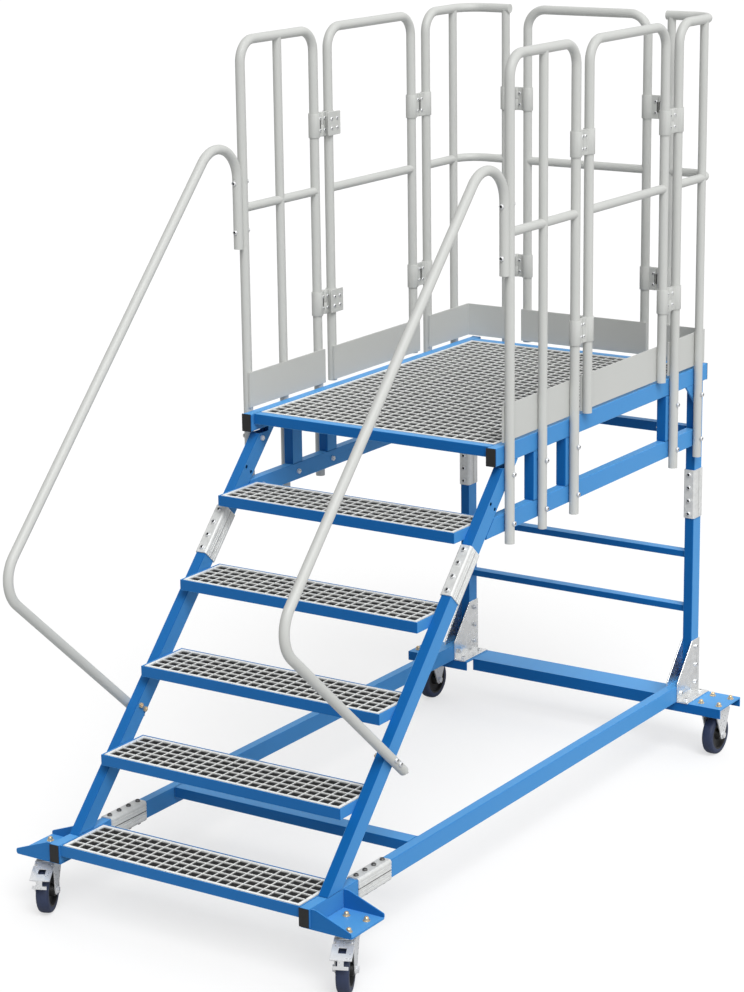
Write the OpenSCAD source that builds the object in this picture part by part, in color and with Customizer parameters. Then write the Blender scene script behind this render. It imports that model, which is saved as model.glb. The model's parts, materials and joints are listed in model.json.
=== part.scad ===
// Mobile stair platform on castors with guardrails and three gates, in millimetres.
// +X is right when climbing, +Y runs from the foot of the stair to the rear, +Z is up.

/* [Stair] */
// Height of the platform surface above the floor
platform_height = 1200; // [1100:5:1350]
// Clear width of the steps between the stringers
step_width = 770; // [640:5:900]
// Horizontal distance from one step nose to the next
step_going = 185; // [175:1:200]
// Depth of one step
step_depth = 183; // [170:1:200]
// Height of a step's frame
step_frame_h = 30; // [24:1:36]
// Sheet thickness of a step's frame
step_sheet_t = 4; // [3:0.5:6]
// Distance of the stringers behind the line of the step noses
stringer_setback = 56; // [50:1:70]

/* [Platform] */
// Length of the platform's side rails
platform_length = 1253; // [1200:1:1400]
// Distance the platform reaches forward over the last going
nose_overlap = 20; // [10:1:30]
// Length of the side rails behind the rear legs
rear_overhang = 26; // [26:1:40]
// Distance of the front cross tube behind the rails' ends
front_cross_setback = 15; // [10:1:25]
// Height of the lower side rails' centre line below the platform
lower_rail_drop = 213; // [195:1:235]

/* [Frame tube] */
// Width of the rectangular frame tube
tube_w = 30; // [28:1:36]
// Depth of the rectangular frame tube
tube_h = 50; // [46:1:56]
// Wall of the frame tube
tube_wall = 2.5; // [2:0.5:4]
// Side of the square cross tube
cross_tube_h = 30; // [26:1:36]
// Height of the flat rungs between the legs
rung_h = 20; // [16:1:26]
// Depth of the flat rungs between the legs
rung_d = 36; // [30:1:44]
// Height of the lower rung as a share of the leg's free run
lower_rung_share = 0.275; // [0.2:0.005:0.35]
// Height of the upper rung as a share of the leg's free run
upper_rung_share = 0.72; // [0.65:0.005:0.8]
// Depth of the joint in the rear legs below the platform
leg_joint_depth = 394; // [370:1:420]
// Distance of the base joint behind the first nose
base_joint_y = 292; // [280:1:320]
// Distance of the base cross tube behind the first nose
base_cross_y = 500; // [460:1:560]
// Reach of the base stubs in front of the first nose
stub_reach = 5; // [2:1:10]

/* [Clamp couplings] */
// Clearance of a stair coupling from the steps beside it, along the slope
coupling_clearance = 11; // [8:1:14]
// Wall of a clamp coupling
coupling_wall = 4; // [3:0.5:6]
// Gap between the two halves of a clamp coupling
coupling_seam = 3; // [2:0.5:6]

/* [Guardrail] */
// Height of the top tube above the platform
guard_height = 1050; // [1000:5:1100]
// Height of the middle rail's centre above the platform
mid_rail_height = 575; // [500:5:620]
// Diameter of the guard tube
guard_tube_d = 27; // [26:0.5:30]
// Diameter of the middle rails and the centre posts
infill_tube_d = 25; // [22:0.5:25.5]
// Wall of the guard tube
guard_wall = 2; // [1.5:0.5:3]
// Centre line radius of the tube bends
guard_bend_r = 60; // [50:1:75]
// Distance from the platform's front to the first post
front_post_inset = 50; // [46:1:56]
// Distance between the posts of the front panels
panel_post_pitch = 177; // [165:1:190]
// Distance between post centres across a hinge
hinge_gap = 73; // [70:1:80]
// Distance between post centres across a latch
latch_gap = 83; // [78:1:90]
// Distance from the frame's rear to the last side post
corner_post_inset = 62; // [59:1:66]
// Distance between the side posts of a corner panel
corner_post_pitch = 158; // [145:1:165]
// Centre line radius of the corner panels' bend, seen from above
corner_bend_r = 72; // [66:1:73]
// Distance between the post centres of the rear gate
rear_gate_width = 412; // [390:1:420]
// Length of the posts below the platform
post_lower_length = 270; // [255:1:290]
// Height of the upper post bolts below the platform
upper_bolt_drop = 77; // [70:1:85]
// Clearance of the gates above the platform
gate_clearance = 5; // [4:1:9]
// Height of the toe boards
toe_board_h = 100; // [80:1:120]
// Height of the toe boards above the platform
toe_board_gap = 10; // [6:1:16]
// Sheet thickness of the toe boards
toe_board_t = 3; // [2:0.5:4]
// Height of the lower gate clamps above the platform
lower_clamp_height = 245; // [220:1:280]
// Height of the upper gate clamps above the platform
upper_clamp_height = 764; // [720:1:800]
// Height of a gate clamp
clamp_h = 70; // [60:1:80]
// Sheet thickness of a gate clamp
clamp_t = 3; // [2:0.5:4]

/* [Handrail] */
// Distance of the handrails from the line of the step noses
handrail_offset = 609; // [560:1:650]
// Downward slope of a handrail's lower run, in degrees
handrail_lower_angle = 42; // [38:1:44]
// Distance along the slope from the first nose to a handrail's foot
handrail_fix_along = 454; // [420:1:480]
// Length of a handrail beyond its foot fixing
handrail_tail = 61; // [55:1:75]
// Centre line radius of the handrail bends
handrail_bend_r = 92; // [80:1:100]
// Height of a handrail's upper end above the platform
handrail_end_height = 464; // [440:1:480]

/* [Castors] */
// Wheel diameter
wheel_d = 125; // [110:1:126]
// Tyre width
wheel_w = 34; // [30:1:40]
// Mounting height of a castor
castor_height = 163; // [160:1:180]
// Distance of the swivel axis from the axle, seen from above
swivel_offset = 36; // [30:1:40]
// Turn of the front castors about their swivel axes, in degrees
castor_heading = 24; // [-30:1:30]
// Distance of the front castors outside the base rails
front_castor_out = 65; // [63:1:75]
// Distance of the front castors behind the first nose
front_castor_y = 70; // [66:1:82]
// Distance of the rear castors outside the base rails
rear_castor_out = 98; // [95:1:105]
// Depth of the front castor brackets
front_bracket_d = 154; // [150:1:165]
// Reach of the front castor brackets outside the base rails
front_bracket_reach = 123; // [120:1:135]
// Depth of the rear castor brackets
rear_bracket_d = 142; // [138:1:150]
// Reach of the rear castor brackets outside the base rails
rear_bracket_reach = 147; // [145:1:160]
// Sheet thickness of the castor brackets
bracket_t = 5; // [4:0.5:6]
// Depth of the rear beam
beam_d = 102; // [90:1:110]
// Height of the rear beam
beam_h = 38; // [34:1:44]

/* [Hidden] */
$fn = 64;

// Finishes
frame_blue = [0.13, 0.44, 0.76];
guard_grey = [0.80, 0.81, 0.79];
galvanised = [0.72, 0.73, 0.72];
zinc = [0.78, 0.79, 0.80];
black_plastic = [0.08, 0.08, 0.08];
tyre_blue = [0.18, 0.22, 0.36];

// One overrun serves all cuts
overrun = 1;

// Stair line
step_count = 5;
first_step_z = castor_height + bracket_t + tube_h;
step_rise = (platform_height - first_step_z) / step_count;
stair_angle = atan2(step_rise, step_going);
stair_sine = sin(stair_angle);
stair_cosine = cos(stair_angle);
slope_pitch = norm([step_going, step_rise]);

// Clamp coupling in the free run of the stringer between two steps
steps_below_joint_count = 3;
stringer_top = stringer_setback - coupling_wall;
stringer_under = stringer_setback + tube_h + coupling_wall;
free_run_start = stringer_under / tan(stair_angle);
free_run_end = slope_pitch + stringer_top / tan(stair_angle) - step_frame_h / stair_sine;
coupling_length = free_run_end - free_run_start - 2 * coupling_clearance;
stair_joint_distance = steps_below_joint_count * slope_pitch + (free_run_start + free_run_end) / 2;

// Main lines of the frame
side_x = (step_width + tube_w) / 2;
inner_x = step_width / 2;
outer_x = inner_x + tube_w;
front_castor_x = outer_x + front_castor_out;
rear_castor_x = outer_x + rear_castor_out;
front_bracket_x = outer_x + front_bracket_reach;
rear_bracket_x = outer_x + rear_bracket_reach;
rail_z = first_step_z - tube_h / 2;
base_z = castor_height + bracket_t;
platform_y = step_count * step_going - nose_overlap;
platform_end_y = platform_y + platform_length;
frame_end_y = platform_end_y - rear_overhang;
leg_y = frame_end_y - tube_h / 2;
leg_front_y = frame_end_y - tube_h;
upper_rail_z = platform_height - tube_h / 2;
rail_under_z = platform_height - tube_h;
lower_rail_z = platform_height - lower_rail_drop;
leg_joint_z = platform_height - leg_joint_depth;

// Guard lines
guard_r = guard_tube_d / 2;
guard_x = outer_x + guard_r;
rear_guard_y = frame_end_y + guard_r;
top_tube_z = platform_height + guard_height - guard_r;
mid_rail_z = platform_height + mid_rail_height;
post_bottom_z = platform_height - post_lower_length;
gate_bottom_z = platform_height + gate_clearance;
post_1_y = platform_y + front_post_inset;
post_2_y = post_1_y + panel_post_pitch;
post_3_y = post_2_y + panel_post_pitch;
gate_front_y = post_3_y + hinge_gap;
post_7_y = frame_end_y - corner_post_inset;
post_6_y = post_7_y - corner_post_pitch;
gate_rear_y = post_6_y - latch_gap;
rear_post_gap = (hinge_gap + latch_gap) / 2;
rear_gate_x = rear_gate_width / 2;
rear_post_x = rear_gate_x + rear_post_gap;
end_bore_depth = guard_tube_d;
upper_bolt_z = platform_height - upper_bolt_drop;

// Grating bars
grating_h = 25;
bar_t = 3;
bearing_pitch = 30;
cross_bar_pitch = 110;

// Bolts
bolt_d = 8;
bolt_hole_d = 8.4;
bolt_head_d = 14;
bolt_head_h = 5;
bolt_nut_h = 6.5;
bolt_tip = 3;
rear_upper_bolt_z = platform_height - grating_h - bolt_head_d;
coupling_bolt_share = 0.27;
coupling_bolt_shares = [-1.5, -0.5, 0.5, 1.5];

// End caps
cap_lip = 2;
cap_plug = 18;

// Stringer stub's sawn front opening
stub_opening_h = 12;
stub_opening_y = 34;

// Leg gussets
gusset_t = 4;
gusset_length = 146;
gusset_height = 172;
gusset_front_h = 59;
gusset_flange = 36;
gusset_bolt_inset = 24;
corner_gusset_size = 62;
corner_gusset_t = 6;

// Castor brackets
bracket_lip = 9;
rear_bracket_flange = 30;
rear_bracket_inset = 45;
rear_bracket_inner_x = inner_x - rear_bracket_inset;

// Castor parts
wheel_r = wheel_d / 2;
axle_d = 12;
running_gap = 0.05;
plate_t = 4;
plate_x = 85;
plate_y = 105;
plate_bolt_x = 60;
plate_bolt_y = 80;
king_pin_d = 14;
race_d = 66;
race_h = 12;
race_gap = 0.3;
crown_t = 6;
hub_length = 45;
fork_gap = 46;
fork_t = 4;
fork_arm_w = 30;
fork_foot_w = 26;
rear_neck_w = 22;
rear_shoulder_w = 46;
rear_shoulder_drop = 20;
crown_reach = 34;
rim_d = 92;
tyre_shoulder = 7;
hub_web_t = 12;
hub_boss_d = 34;
rim_t = 6;
axle_head_d = 20;
axle_head_h = 6;
pedal_t = 3;
pedal_pin_d = 8;
pedal_pin_y = -48;
pedal_pin_z = 138;
pedal_side_gap = 0.5;
pedal_width = 56;
pedal_length = 64;
pedal_neck = 12;
pedal_slope = 25;
pedal_window_w = 20;
pedal_window_l = 18;
tongue_w = 16;
tongue_length = 22;
tongue_slope = 82;
tongue_bar_w = 40;
tongue_bar_h = 9;

// Gate clamps and hinges
clamp_d = guard_tube_d + 2 * clamp_t;
knuckle_d = 16;
hinge_pin_d = 8;
knuckle_gap = 0.3;
latch_tab_gap = 2;
tab_t = 8;

// Handrail path in the plane of the posts, as [y, z]
handrail_y = post_1_y - guard_tube_d;
stringer_mid = stringer_setback + tube_h / 2;
handrail_lower_dir = [cos(handrail_lower_angle), -sin(handrail_lower_angle)];
stair_dir = [stair_cosine, stair_sine];
stair_down = [stair_sine, -stair_cosine];
nose = [0, first_step_z];
handrail_fix = nose + handrail_fix_along * stair_dir + stringer_mid * stair_down;
handrail_foot = handrail_fix + handrail_tail * handrail_lower_dir;
handrail_run = (handrail_offset + stringer_mid) / sin(stair_angle + handrail_lower_angle);
handrail_corner = handrail_fix - handrail_run * handrail_lower_dir;
handrail_peak_z = first_step_z + handrail_y * stair_sine / stair_cosine + handrail_offset / stair_cosine;
handrail_peak = [handrail_y, handrail_peak_z];
handrail_end = [handrail_y, platform_height + handrail_end_height];
corner_turn = 180 - handrail_lower_angle - stair_angle;
peak_turn = 90 + stair_angle;
corner_tangent = handrail_bend_r * tan(corner_turn / 2);
peak_tangent = handrail_bend_r * tan(peak_turn / 2);
handrail_bolt_shares = [0.25, 0.97];
handrail_bolt_span = 190;
handrail_foot_bolt_pitch = 24;
bend_ease = 0.2;
handrail_bar_d = guard_tube_d - bend_ease;

// The row frame's origin lies on the floor, half way along the part
corner_bisector = (stair_angle - handrail_lower_angle) / 2;
corner_to_centre = handrail_bend_r / cos(corner_turn / 2);
corner_centre_y = handrail_corner[0] + corner_to_centre * cos(corner_bisector);
front_end_y = corner_centre_y - handrail_bend_r - guard_r;
rear_end_y = max(platform_end_y + cap_lip, frame_end_y + guard_tube_d + bolt_head_h);
mid_y = (front_end_y + rear_end_y) / 2;

// Placing helpers
module at_origin() {
    translate([0, -mid_y, 0]) children();
}

module both_sides() {
    children();
    mirror([1, 0, 0]) children();
}

module stair_frame() {
    translate([0, 0, first_step_z]) rotate([stair_angle - 90, 0, 0]) children();
}

// Frame tubes
module tube_z(w, d, length) {
    difference() {
        translate([-w / 2, -d / 2, 0]) cube([w, d, length]);
        translate([tube_wall - w / 2, tube_wall - d / 2, -overrun])
            cube([w - 2 * tube_wall, d - 2 * tube_wall, length + 2 * overrun]);
    }
}

module tube_along_y(x, z, from, to, w, h) {
    translate([x, from, z]) rotate([-90, 0, 0]) tube_z(w, h, to - from);
}

module tube_along_x(y, z, half, d, h) {
    translate([-half, y, z]) rotate([0, 90, 0]) tube_z(h, d, 2 * half);
}

// Round bars in an upright plane along Y
module bar_yz(x, from, to, d) {
    run = to - from;
    translate([x, from[0], from[1]])
        rotate([atan2(run[1], run[0]) - 90, 0, 0])
            cylinder(h = norm(run), d = d);
}

module elbow(r, turn, d) {
    rotate_extrude(angle = turn) translate([r, 0]) circle(d = d);
}

module elbow_yz(x, centre, r, start, turn, d) {
    translate([x, centre[0], centre[1]]) rotate([90, 0, 90]) rotate([0, 0, start]) elbow(r, turn, d);
}

module post(x, y, from, to, d) {
    translate([x, y, from]) cylinder(h = to - from, d = d);
}

module end_bore(x, y, z) {
    translate([x, y, z - overrun]) cylinder(h = end_bore_depth + overrun, d = guard_tube_d - 2 * guard_wall);
}

module bolt(grip) {
    translate([0, 0, -bolt_head_h]) cylinder(h = bolt_head_h, d = bolt_head_d, $fn = 6);
    cylinder(h = grip + bolt_nut_h + bolt_tip, d = bolt_d);
    translate([0, 0, grip]) cylinder(h = bolt_nut_h, d = bolt_head_d, $fn = 6);
}

// Bolt holes along X through the right side's posts and tubes
module hole_x(y, z) {
    translate([inner_x - overrun, y, z]) rotate([0, 90, 0])
        cylinder(h = tube_w + guard_tube_d + 2 * overrun, d = bolt_hole_d);
}

module bolt_x(y, z, grip = tube_w) {
    translate([outer_x + guard_tube_d, y, z]) rotate([0, -90, 0]) bolt(grip + guard_tube_d);
}

// Clamp couplings lie along Z in their own frame, with the bolts along Y
module coupling_frame_base() {
    translate([side_x, base_joint_y, rail_z]) rotate([-90, 0, 0]) children();
}

module coupling_frame_leg() {
    translate([side_x, leg_y, leg_joint_z]) children();
}

module coupling_frame_stair() {
    stair_frame() translate([side_x, stringer_mid, stair_joint_distance]) children();
}

module coupling_bolt_places() {
    for (share = coupling_bolt_shares)
        translate([0, 0, share * coupling_bolt_share * coupling_length]) children();
}

module coupling_half() {
    half_w = tube_w / 2 + coupling_wall;
    half_h = tube_h / 2 + coupling_wall;
    lip = coupling_seam / 2;
    difference() {
        translate([0, 0, -coupling_length / 2]) linear_extrude(coupling_length)
            polygon([
                [-half_w, lip], [-tube_w / 2, lip], [-tube_w / 2, tube_h / 2], [tube_w / 2, tube_h / 2],
                [tube_w / 2, lip], [half_w, lip], [half_w, half_h - coupling_wall],
                [half_w - coupling_wall, half_h], [coupling_wall - half_w, half_h],
                [-half_w, half_h - coupling_wall]
            ]);
        coupling_holes();
    }
}

module coupling() {
    coupling_half();
    mirror([0, 1, 0]) coupling_half();
}

module coupling_holes() {
    coupling_bolt_places()
        translate([0, -tube_h, 0]) rotate([-90, 0, 0]) cylinder(h = 2 * tube_h, d = bolt_hole_d);
}

module coupling_fasteners() {
    half_h = tube_h / 2 + coupling_wall;
    coupling_bolt_places()
        translate([0, -half_h, 0]) rotate([-90, 0, 0]) bolt(2 * half_h);
}

module base_couplings() color(galvanised) at_origin() both_sides() coupling_frame_base() coupling();
module leg_couplings() color(galvanised) at_origin() both_sides() coupling_frame_leg() coupling();
module stair_couplings() color(galvanised) at_origin() both_sides() coupling_frame_stair() coupling();

module coupling_bolts() color(zinc) at_origin() both_sides() {
    coupling_frame_base() coupling_fasteners();
    coupling_frame_leg() coupling_fasteners();
    coupling_frame_stair() coupling_fasteners();
}

// Base
module base_stubs() color(frame_blue) at_origin() both_sides() difference() {
    tube_along_y(side_x, rail_z, -stub_reach, base_joint_y, tube_w, tube_h);
    coupling_frame_base() coupling_holes();
}

module base_rails() color(frame_blue) at_origin() both_sides() difference() {
    tube_along_y(side_x, rail_z, base_joint_y, leg_front_y, tube_w, tube_h);
    coupling_frame_base() coupling_holes();
    gusset_bolt_holes();
}

module base_cross_tube() color(frame_blue) at_origin()
    tube_along_x(base_cross_y + tube_h / 2, first_step_z - cross_tube_h / 2, inner_x, tube_h, cross_tube_h);

module castor_holes(x, y) {
    for (sx = [-1, 1], sy = [-1, 1])
        translate([x + sx * plate_bolt_x / 2, y + sy * plate_bolt_y / 2, castor_height - plate_t - overrun])
            cylinder(h = plate_t + bracket_t + 2 * overrun, d = bolt_hole_d);
}

// Folded tray with two tapering cheeks beside the base stub
module front_bracket() {
    cheek_y = [0, front_bracket_d - bracket_t];
    difference() {
        translate([inner_x, 0, castor_height])
            cube([front_bracket_x - inner_x, front_bracket_d, bracket_t]);
        castor_holes(front_castor_x, front_castor_y);
    }
    for (y = cheek_y)
        translate([0, y + bracket_t, 0]) rotate([90, 0, 0]) linear_extrude(bracket_t)
            polygon([
                [outer_x, base_z], [front_bracket_x, base_z], [front_bracket_x, base_z + bracket_lip],
                [outer_x + bracket_lip, first_step_z], [outer_x, first_step_z]
            ]);
}

module front_castor_brackets() color(frame_blue) at_origin() both_sides() front_bracket();

rear_bracket_y = frame_end_y - rear_bracket_d;
rear_castor_y = frame_end_y - rear_bracket_d / 2;

module rear_bracket() {
    flange_z = base_z - rear_bracket_flange;
    difference() {
        union() {
            translate([rear_bracket_inner_x, rear_bracket_y, castor_height])
                cube([rear_bracket_x - rear_bracket_inner_x, rear_bracket_d, bracket_t]);
            for (y = [rear_bracket_y, frame_end_y - bracket_t])
                translate([rear_bracket_inner_x, y, flange_z])
                    cube([rear_bracket_x - rear_bracket_inner_x, bracket_t, rear_bracket_flange]);
        }
        castor_holes(rear_castor_x, rear_castor_y);
        gusset_flange_holes();
    }
}

module rear_castor_brackets() color(frame_blue) at_origin() both_sides() rear_bracket();

// Inverted channel between the rear brackets
module rear_beam() color(frame_blue) at_origin() {
    length = 2 * rear_bracket_inner_x;
    translate([-rear_bracket_inner_x, frame_end_y - beam_d, base_z - bracket_t])
        cube([length, beam_d, bracket_t]);
    for (y = [frame_end_y - beam_d, frame_end_y - bracket_t])
        translate([-rear_bracket_inner_x, y, base_z - beam_h]) cube([length, bracket_t, beam_h]);
}

// Rear legs
module legs() color(frame_blue) at_origin() both_sides() difference() {
    translate([side_x, leg_y, base_z]) tube_z(tube_w, tube_h, leg_joint_z - base_z);
    coupling_frame_leg() coupling_holes();
    gusset_bolt_holes();
}

module leg_stubs() color(frame_blue) at_origin() both_sides() difference() {
    translate([side_x, leg_y, leg_joint_z]) tube_z(tube_w, tube_h, rail_under_z - leg_joint_z);
    coupling_frame_leg() coupling_holes();
}

leg_run_start = base_z + gusset_height;
leg_run = leg_joint_z - coupling_length / 2 - leg_run_start;

module leg_rungs() color(frame_blue) at_origin()
    for (share = [lower_rung_share, upper_rung_share])
        tube_along_x(leg_y, leg_run_start + share * leg_run - rung_h / 2, inner_x, rung_d, rung_h);

gusset_front_y = frame_end_y - gusset_length;
gusset_leg_bolt_shares = [0.2, 0.52, 0.86];
gusset_bolt_z = [for (share = gusset_leg_bolt_shares) base_z + share * gusset_height];

// Places of the bolts that pass through both gusset plates, as [y, z]
gusset_bolts = concat(
    [for (z = gusset_bolt_z) [leg_y, z]],
    [[gusset_front_y + gusset_bolt_inset, rail_z]]
);

module gusset_bolt_holes() {
    for (place = gusset_bolts)
        translate([inner_x - gusset_t - overrun, place[0], place[1]]) rotate([0, 90, 0])
            cylinder(h = tube_w + 2 * gusset_t + 2 * overrun, d = bolt_hole_d);
}

gusset_flange_bolt_x = [inner_x - gusset_t - gusset_flange / 2, outer_x + gusset_t + gusset_flange / 2];
gusset_flange_bolt_y = [gusset_front_y + gusset_bolt_inset, frame_end_y - gusset_bolt_inset];

module gusset_flange_holes() {
    for (x = gusset_flange_bolt_x, y = gusset_flange_bolt_y)
        translate([x, y, castor_height - overrun])
            cylinder(h = bracket_t + gusset_t + 2 * overrun, d = bolt_hole_d);
}

module gusset_plate() {
    translate([outer_x, 0, 0]) rotate([90, 0, 90]) linear_extrude(gusset_t)
        polygon([
            [gusset_front_y, base_z], [frame_end_y, base_z], [frame_end_y, base_z + gusset_height],
            [leg_front_y, base_z + gusset_height], [gusset_front_y, base_z + gusset_front_h]
        ]);
    translate([outer_x, gusset_front_y, base_z]) cube([gusset_t + gusset_flange, gusset_length, gusset_t]);
}

module leg_gussets() color(galvanised) at_origin() both_sides() difference() {
    union() {
        gusset_plate();
        translate([2 * side_x, 0, 0]) mirror([1, 0, 0]) gusset_plate();
    }
    gusset_bolt_holes();
    gusset_flange_holes();
}

// Platform frame
module upper_side_rails() color(frame_blue) at_origin() both_sides()
    tube_along_y(side_x, upper_rail_z, platform_y, platform_end_y, tube_w, tube_h);

front_cross_y = platform_y + front_cross_setback;

module rear_post_holes(z, d) {
    for (side = [-1, 1])
        translate([side * rear_post_x, frame_end_y - d - overrun, z]) rotate([-90, 0, 0])
            cylinder(h = d + guard_tube_d + 2 * overrun, d = bolt_hole_d);
}

module platform_cross_tubes() color(frame_blue) at_origin() {
    front_cross_z = platform_height - cross_tube_h / 2;
    tube_along_x(front_cross_y + tube_w / 2, front_cross_z, inner_x, tube_w, cross_tube_h);
    difference() {
        tube_along_x(frame_end_y - tube_w / 2, upper_rail_z, inner_x, tube_w, tube_h);
        rear_post_holes(rear_upper_bolt_z, tube_w);
    }
}

lower_cross_z = lower_rail_z + (tube_h - cross_tube_h) / 2;

module lower_cross_tube() color(frame_blue) at_origin() difference() {
    tube_along_x(frame_end_y - tube_w / 2, lower_cross_z, inner_x, tube_w, cross_tube_h);
    rear_post_holes(lower_cross_z, tube_w);
}

lower_rail_front_y = platform_y - tube_h;

module lower_side_rails() color(frame_blue) at_origin() both_sides() difference() {
    tube_along_y(side_x, lower_rail_z, lower_rail_front_y, leg_front_y, tube_w, tube_h);
    stringer_envelope();
    for (y = [post_1_y, post_2_y, post_3_y, post_6_y, post_7_y]) hole_x(y, lower_rail_z);
}

strut_y = [post_2_y, post_3_y, post_6_y];

module platform_struts() color(frame_blue) at_origin() both_sides() difference() {
    bottom = lower_rail_z + tube_h / 2;
    for (y = strut_y)
        translate([side_x, y, bottom]) tube_z(tube_w, tube_h, rail_under_z - bottom);
    for (y = strut_y) hole_x(y, upper_bolt_z);
}

module corner_gussets() color(frame_blue) at_origin() both_sides() difference() {
    translate([outer_x - corner_gusset_t, 0, 0]) rotate([90, 0, 90]) linear_extrude(corner_gusset_t)
        polygon([
            [leg_front_y, rail_under_z], [leg_front_y - corner_gusset_size, rail_under_z],
            [leg_front_y, rail_under_z - corner_gusset_size]
        ]);
    hole_x(post_7_y, upper_bolt_z);
}

// Black plugs in the open tube ends
module cap(y, z, turn) {
    translate([side_x, y, z]) rotate([turn, 0, 0]) {
        translate([-tube_w / 2, -tube_h / 2, 0]) cube([tube_w, tube_h, cap_lip]);
        translate([tube_wall - tube_w / 2, tube_wall - tube_h / 2, -cap_plug])
            cube([tube_w - 2 * tube_wall, tube_h - 2 * tube_wall, cap_plug]);
    }
}

module end_caps() color(black_plastic) at_origin() both_sides() {
    cap(-stub_reach, rail_z, 90);
    cap(platform_y, upper_rail_z, 90);
    cap(platform_end_y, upper_rail_z, -90);
}

// Bar grating with its top at z, from one corner to the other
module grating(x0, x1, y0, y1, z) {
    rows = ceil((y1 - y0) / bearing_pitch);
    columns = ceil((x1 - x0) / cross_bar_pitch);
    row_pitch = (y1 - y0 - bar_t) / rows;
    column_pitch = (x1 - x0 - bar_t) / columns;
    translate([x0, y0, z - grating_h]) linear_extrude(grating_h)
        difference() {
            square([x1 - x0, y1 - y0]);
            for (row = [0 : rows - 1], column = [0 : columns - 1])
                translate([bar_t + column * column_pitch, bar_t + row * row_pitch])
                    square([column_pitch - bar_t, row_pitch - bar_t]);
        }
}

module platform_grating() color(galvanised) at_origin()
    grating(-inner_x, inner_x, front_cross_y + tube_w, frame_end_y - tube_w, platform_height);

// Stair
module stringer_envelope() {
    stair_frame() translate([side_x, stringer_mid, 0])
        translate([-tube_w, -tube_h / 2, 0]) cube([2 * tube_w, tube_h, 2 * stair_joint_distance]);
}

module stringer_tube(from, to) {
    stair_frame() translate([side_x, stringer_mid, from]) tube_z(tube_w, tube_h, to - from);
}

module cut_below(z) {
    translate([inner_x - overrun, -platform_length, z - platform_height])
        cube([tube_w + 2 * overrun, 3 * platform_length, platform_height]);
}

module cut_above(z) {
    translate([0, 0, platform_height]) cut_below(z);
}

module handrail_foot_holes() {
    for (side = [-1, 1]) {
        place = handrail_fix + side * handrail_foot_bolt_pitch / 2 * handrail_lower_dir;
        hole_x(place[0], place[1]);
    }
}

module stringers() color(frame_blue) at_origin() both_sides() difference() {
    stringer_tube(-tube_h - stringer_setback, stair_joint_distance);
    cut_below(first_step_z);
    coupling_frame_stair() coupling_holes();
    handrail_foot_holes();
}

stub_front_y = (rail_under_z - first_step_z + stringer_setback / stair_cosine) / tan(stair_angle);
stub_cut_length = stub_front_y + stub_opening_y - platform_y + platform_length;
stringer_hole_along_share = 0.757;
stringer_hole_offset = 14;
stringer_hole_d = 10;
stub_run = (rail_under_z - first_step_z) / stair_sine - stair_joint_distance;

module stringer_stubs() color(frame_blue) at_origin() both_sides() difference() {
    stringer_tube(stair_joint_distance, stair_joint_distance + platform_length / 2);
    cut_above(rail_under_z);
    translate([inner_x - overrun, platform_y - platform_length, rail_under_z - stub_opening_h])
        cube([tube_w + 2 * overrun, stub_cut_length, platform_height]);
    coupling_frame_stair() coupling_holes();
    hole_x(post_1_y, upper_bolt_z);
    stair_frame() translate([0, stringer_mid, stair_joint_distance + stringer_hole_along_share * stub_run])
        for (side = [-1, 1])
            translate([inner_x - overrun, side * stringer_hole_offset, 0]) rotate([0, 90, 0])
                cylinder(h = tube_w + 2 * overrun, d = stringer_hole_d);
}

module step_frame(index) {
    y = (index - 1) * step_going;
    z = first_step_z + (index - 1) * step_rise;
    inside_x = step_width - 2 * step_sheet_t;
    inside_y = step_depth - 2 * step_sheet_t;
    translate([-inner_x, y, z - step_frame_h])
        difference() {
            cube([step_width, step_depth, step_frame_h]);
            translate([step_sheet_t, step_sheet_t, -overrun])
                cube([inside_x, inside_y, step_frame_h + 2 * overrun]);
        }
}

module step(index) {
    color(frame_blue) at_origin() step_frame(index);
}

module step_1() step(1);
module step_2() step(2);
module step_3() step(3);
module step_4() step(4);
module step_5() step(5);

module step_gratings() color(galvanised) at_origin()
    for (index = [1 : step_count]) {
        y = (index - 1) * step_going;
        z = first_step_z + (index - 1) * step_rise;
        grating(step_sheet_t - inner_x, inner_x - step_sheet_t, y + step_sheet_t,
            y + step_depth - step_sheet_t, z);
    }

// Handrails
function handrail_bolt_z(share) = handrail_end[1] + share * handrail_bolt_span;

module handrail_bolt_holes() {
    for (share = handrail_bolt_shares)
        translate([guard_x, handrail_y - guard_r - overrun, handrail_bolt_z(share)]) rotate([-90, 0, 0])
            cylinder(h = 2 * guard_tube_d + 2 * overrun, d = bolt_hole_d);
}

module handrail() {
    corner_out = handrail_corner + corner_tangent * stair_dir;
    corner_in = handrail_corner + corner_tangent * handrail_lower_dir;
    peak_in = handrail_peak - peak_tangent * stair_dir;
    peak_out = handrail_peak - [0, peak_tangent];
    difference() {
        union() {
            bar_yz(guard_x, handrail_foot, corner_in - overrun * handrail_lower_dir, handrail_bar_d);
            elbow_yz(guard_x, corner_out + handrail_bend_r * stair_down, handrail_bend_r,
                90 + stair_angle, corner_turn, guard_tube_d);
            bar_yz(guard_x, corner_out - overrun * stair_dir, peak_in + overrun * stair_dir, handrail_bar_d);
            elbow_yz(guard_x, peak_out - [handrail_bend_r, 0], handrail_bend_r, 0, peak_turn, guard_tube_d);
            bar_yz(guard_x, peak_out + [0, overrun], handrail_end, handrail_bar_d);
        }
        end_bore(guard_x, handrail_y, handrail_end[1]);
        handrail_bolt_holes();
        handrail_foot_holes();
    }
}

module left_handrail() color(guard_grey) at_origin() mirror([1, 0, 0]) handrail();
module right_handrail() color(guard_grey) at_origin() handrail();

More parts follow.
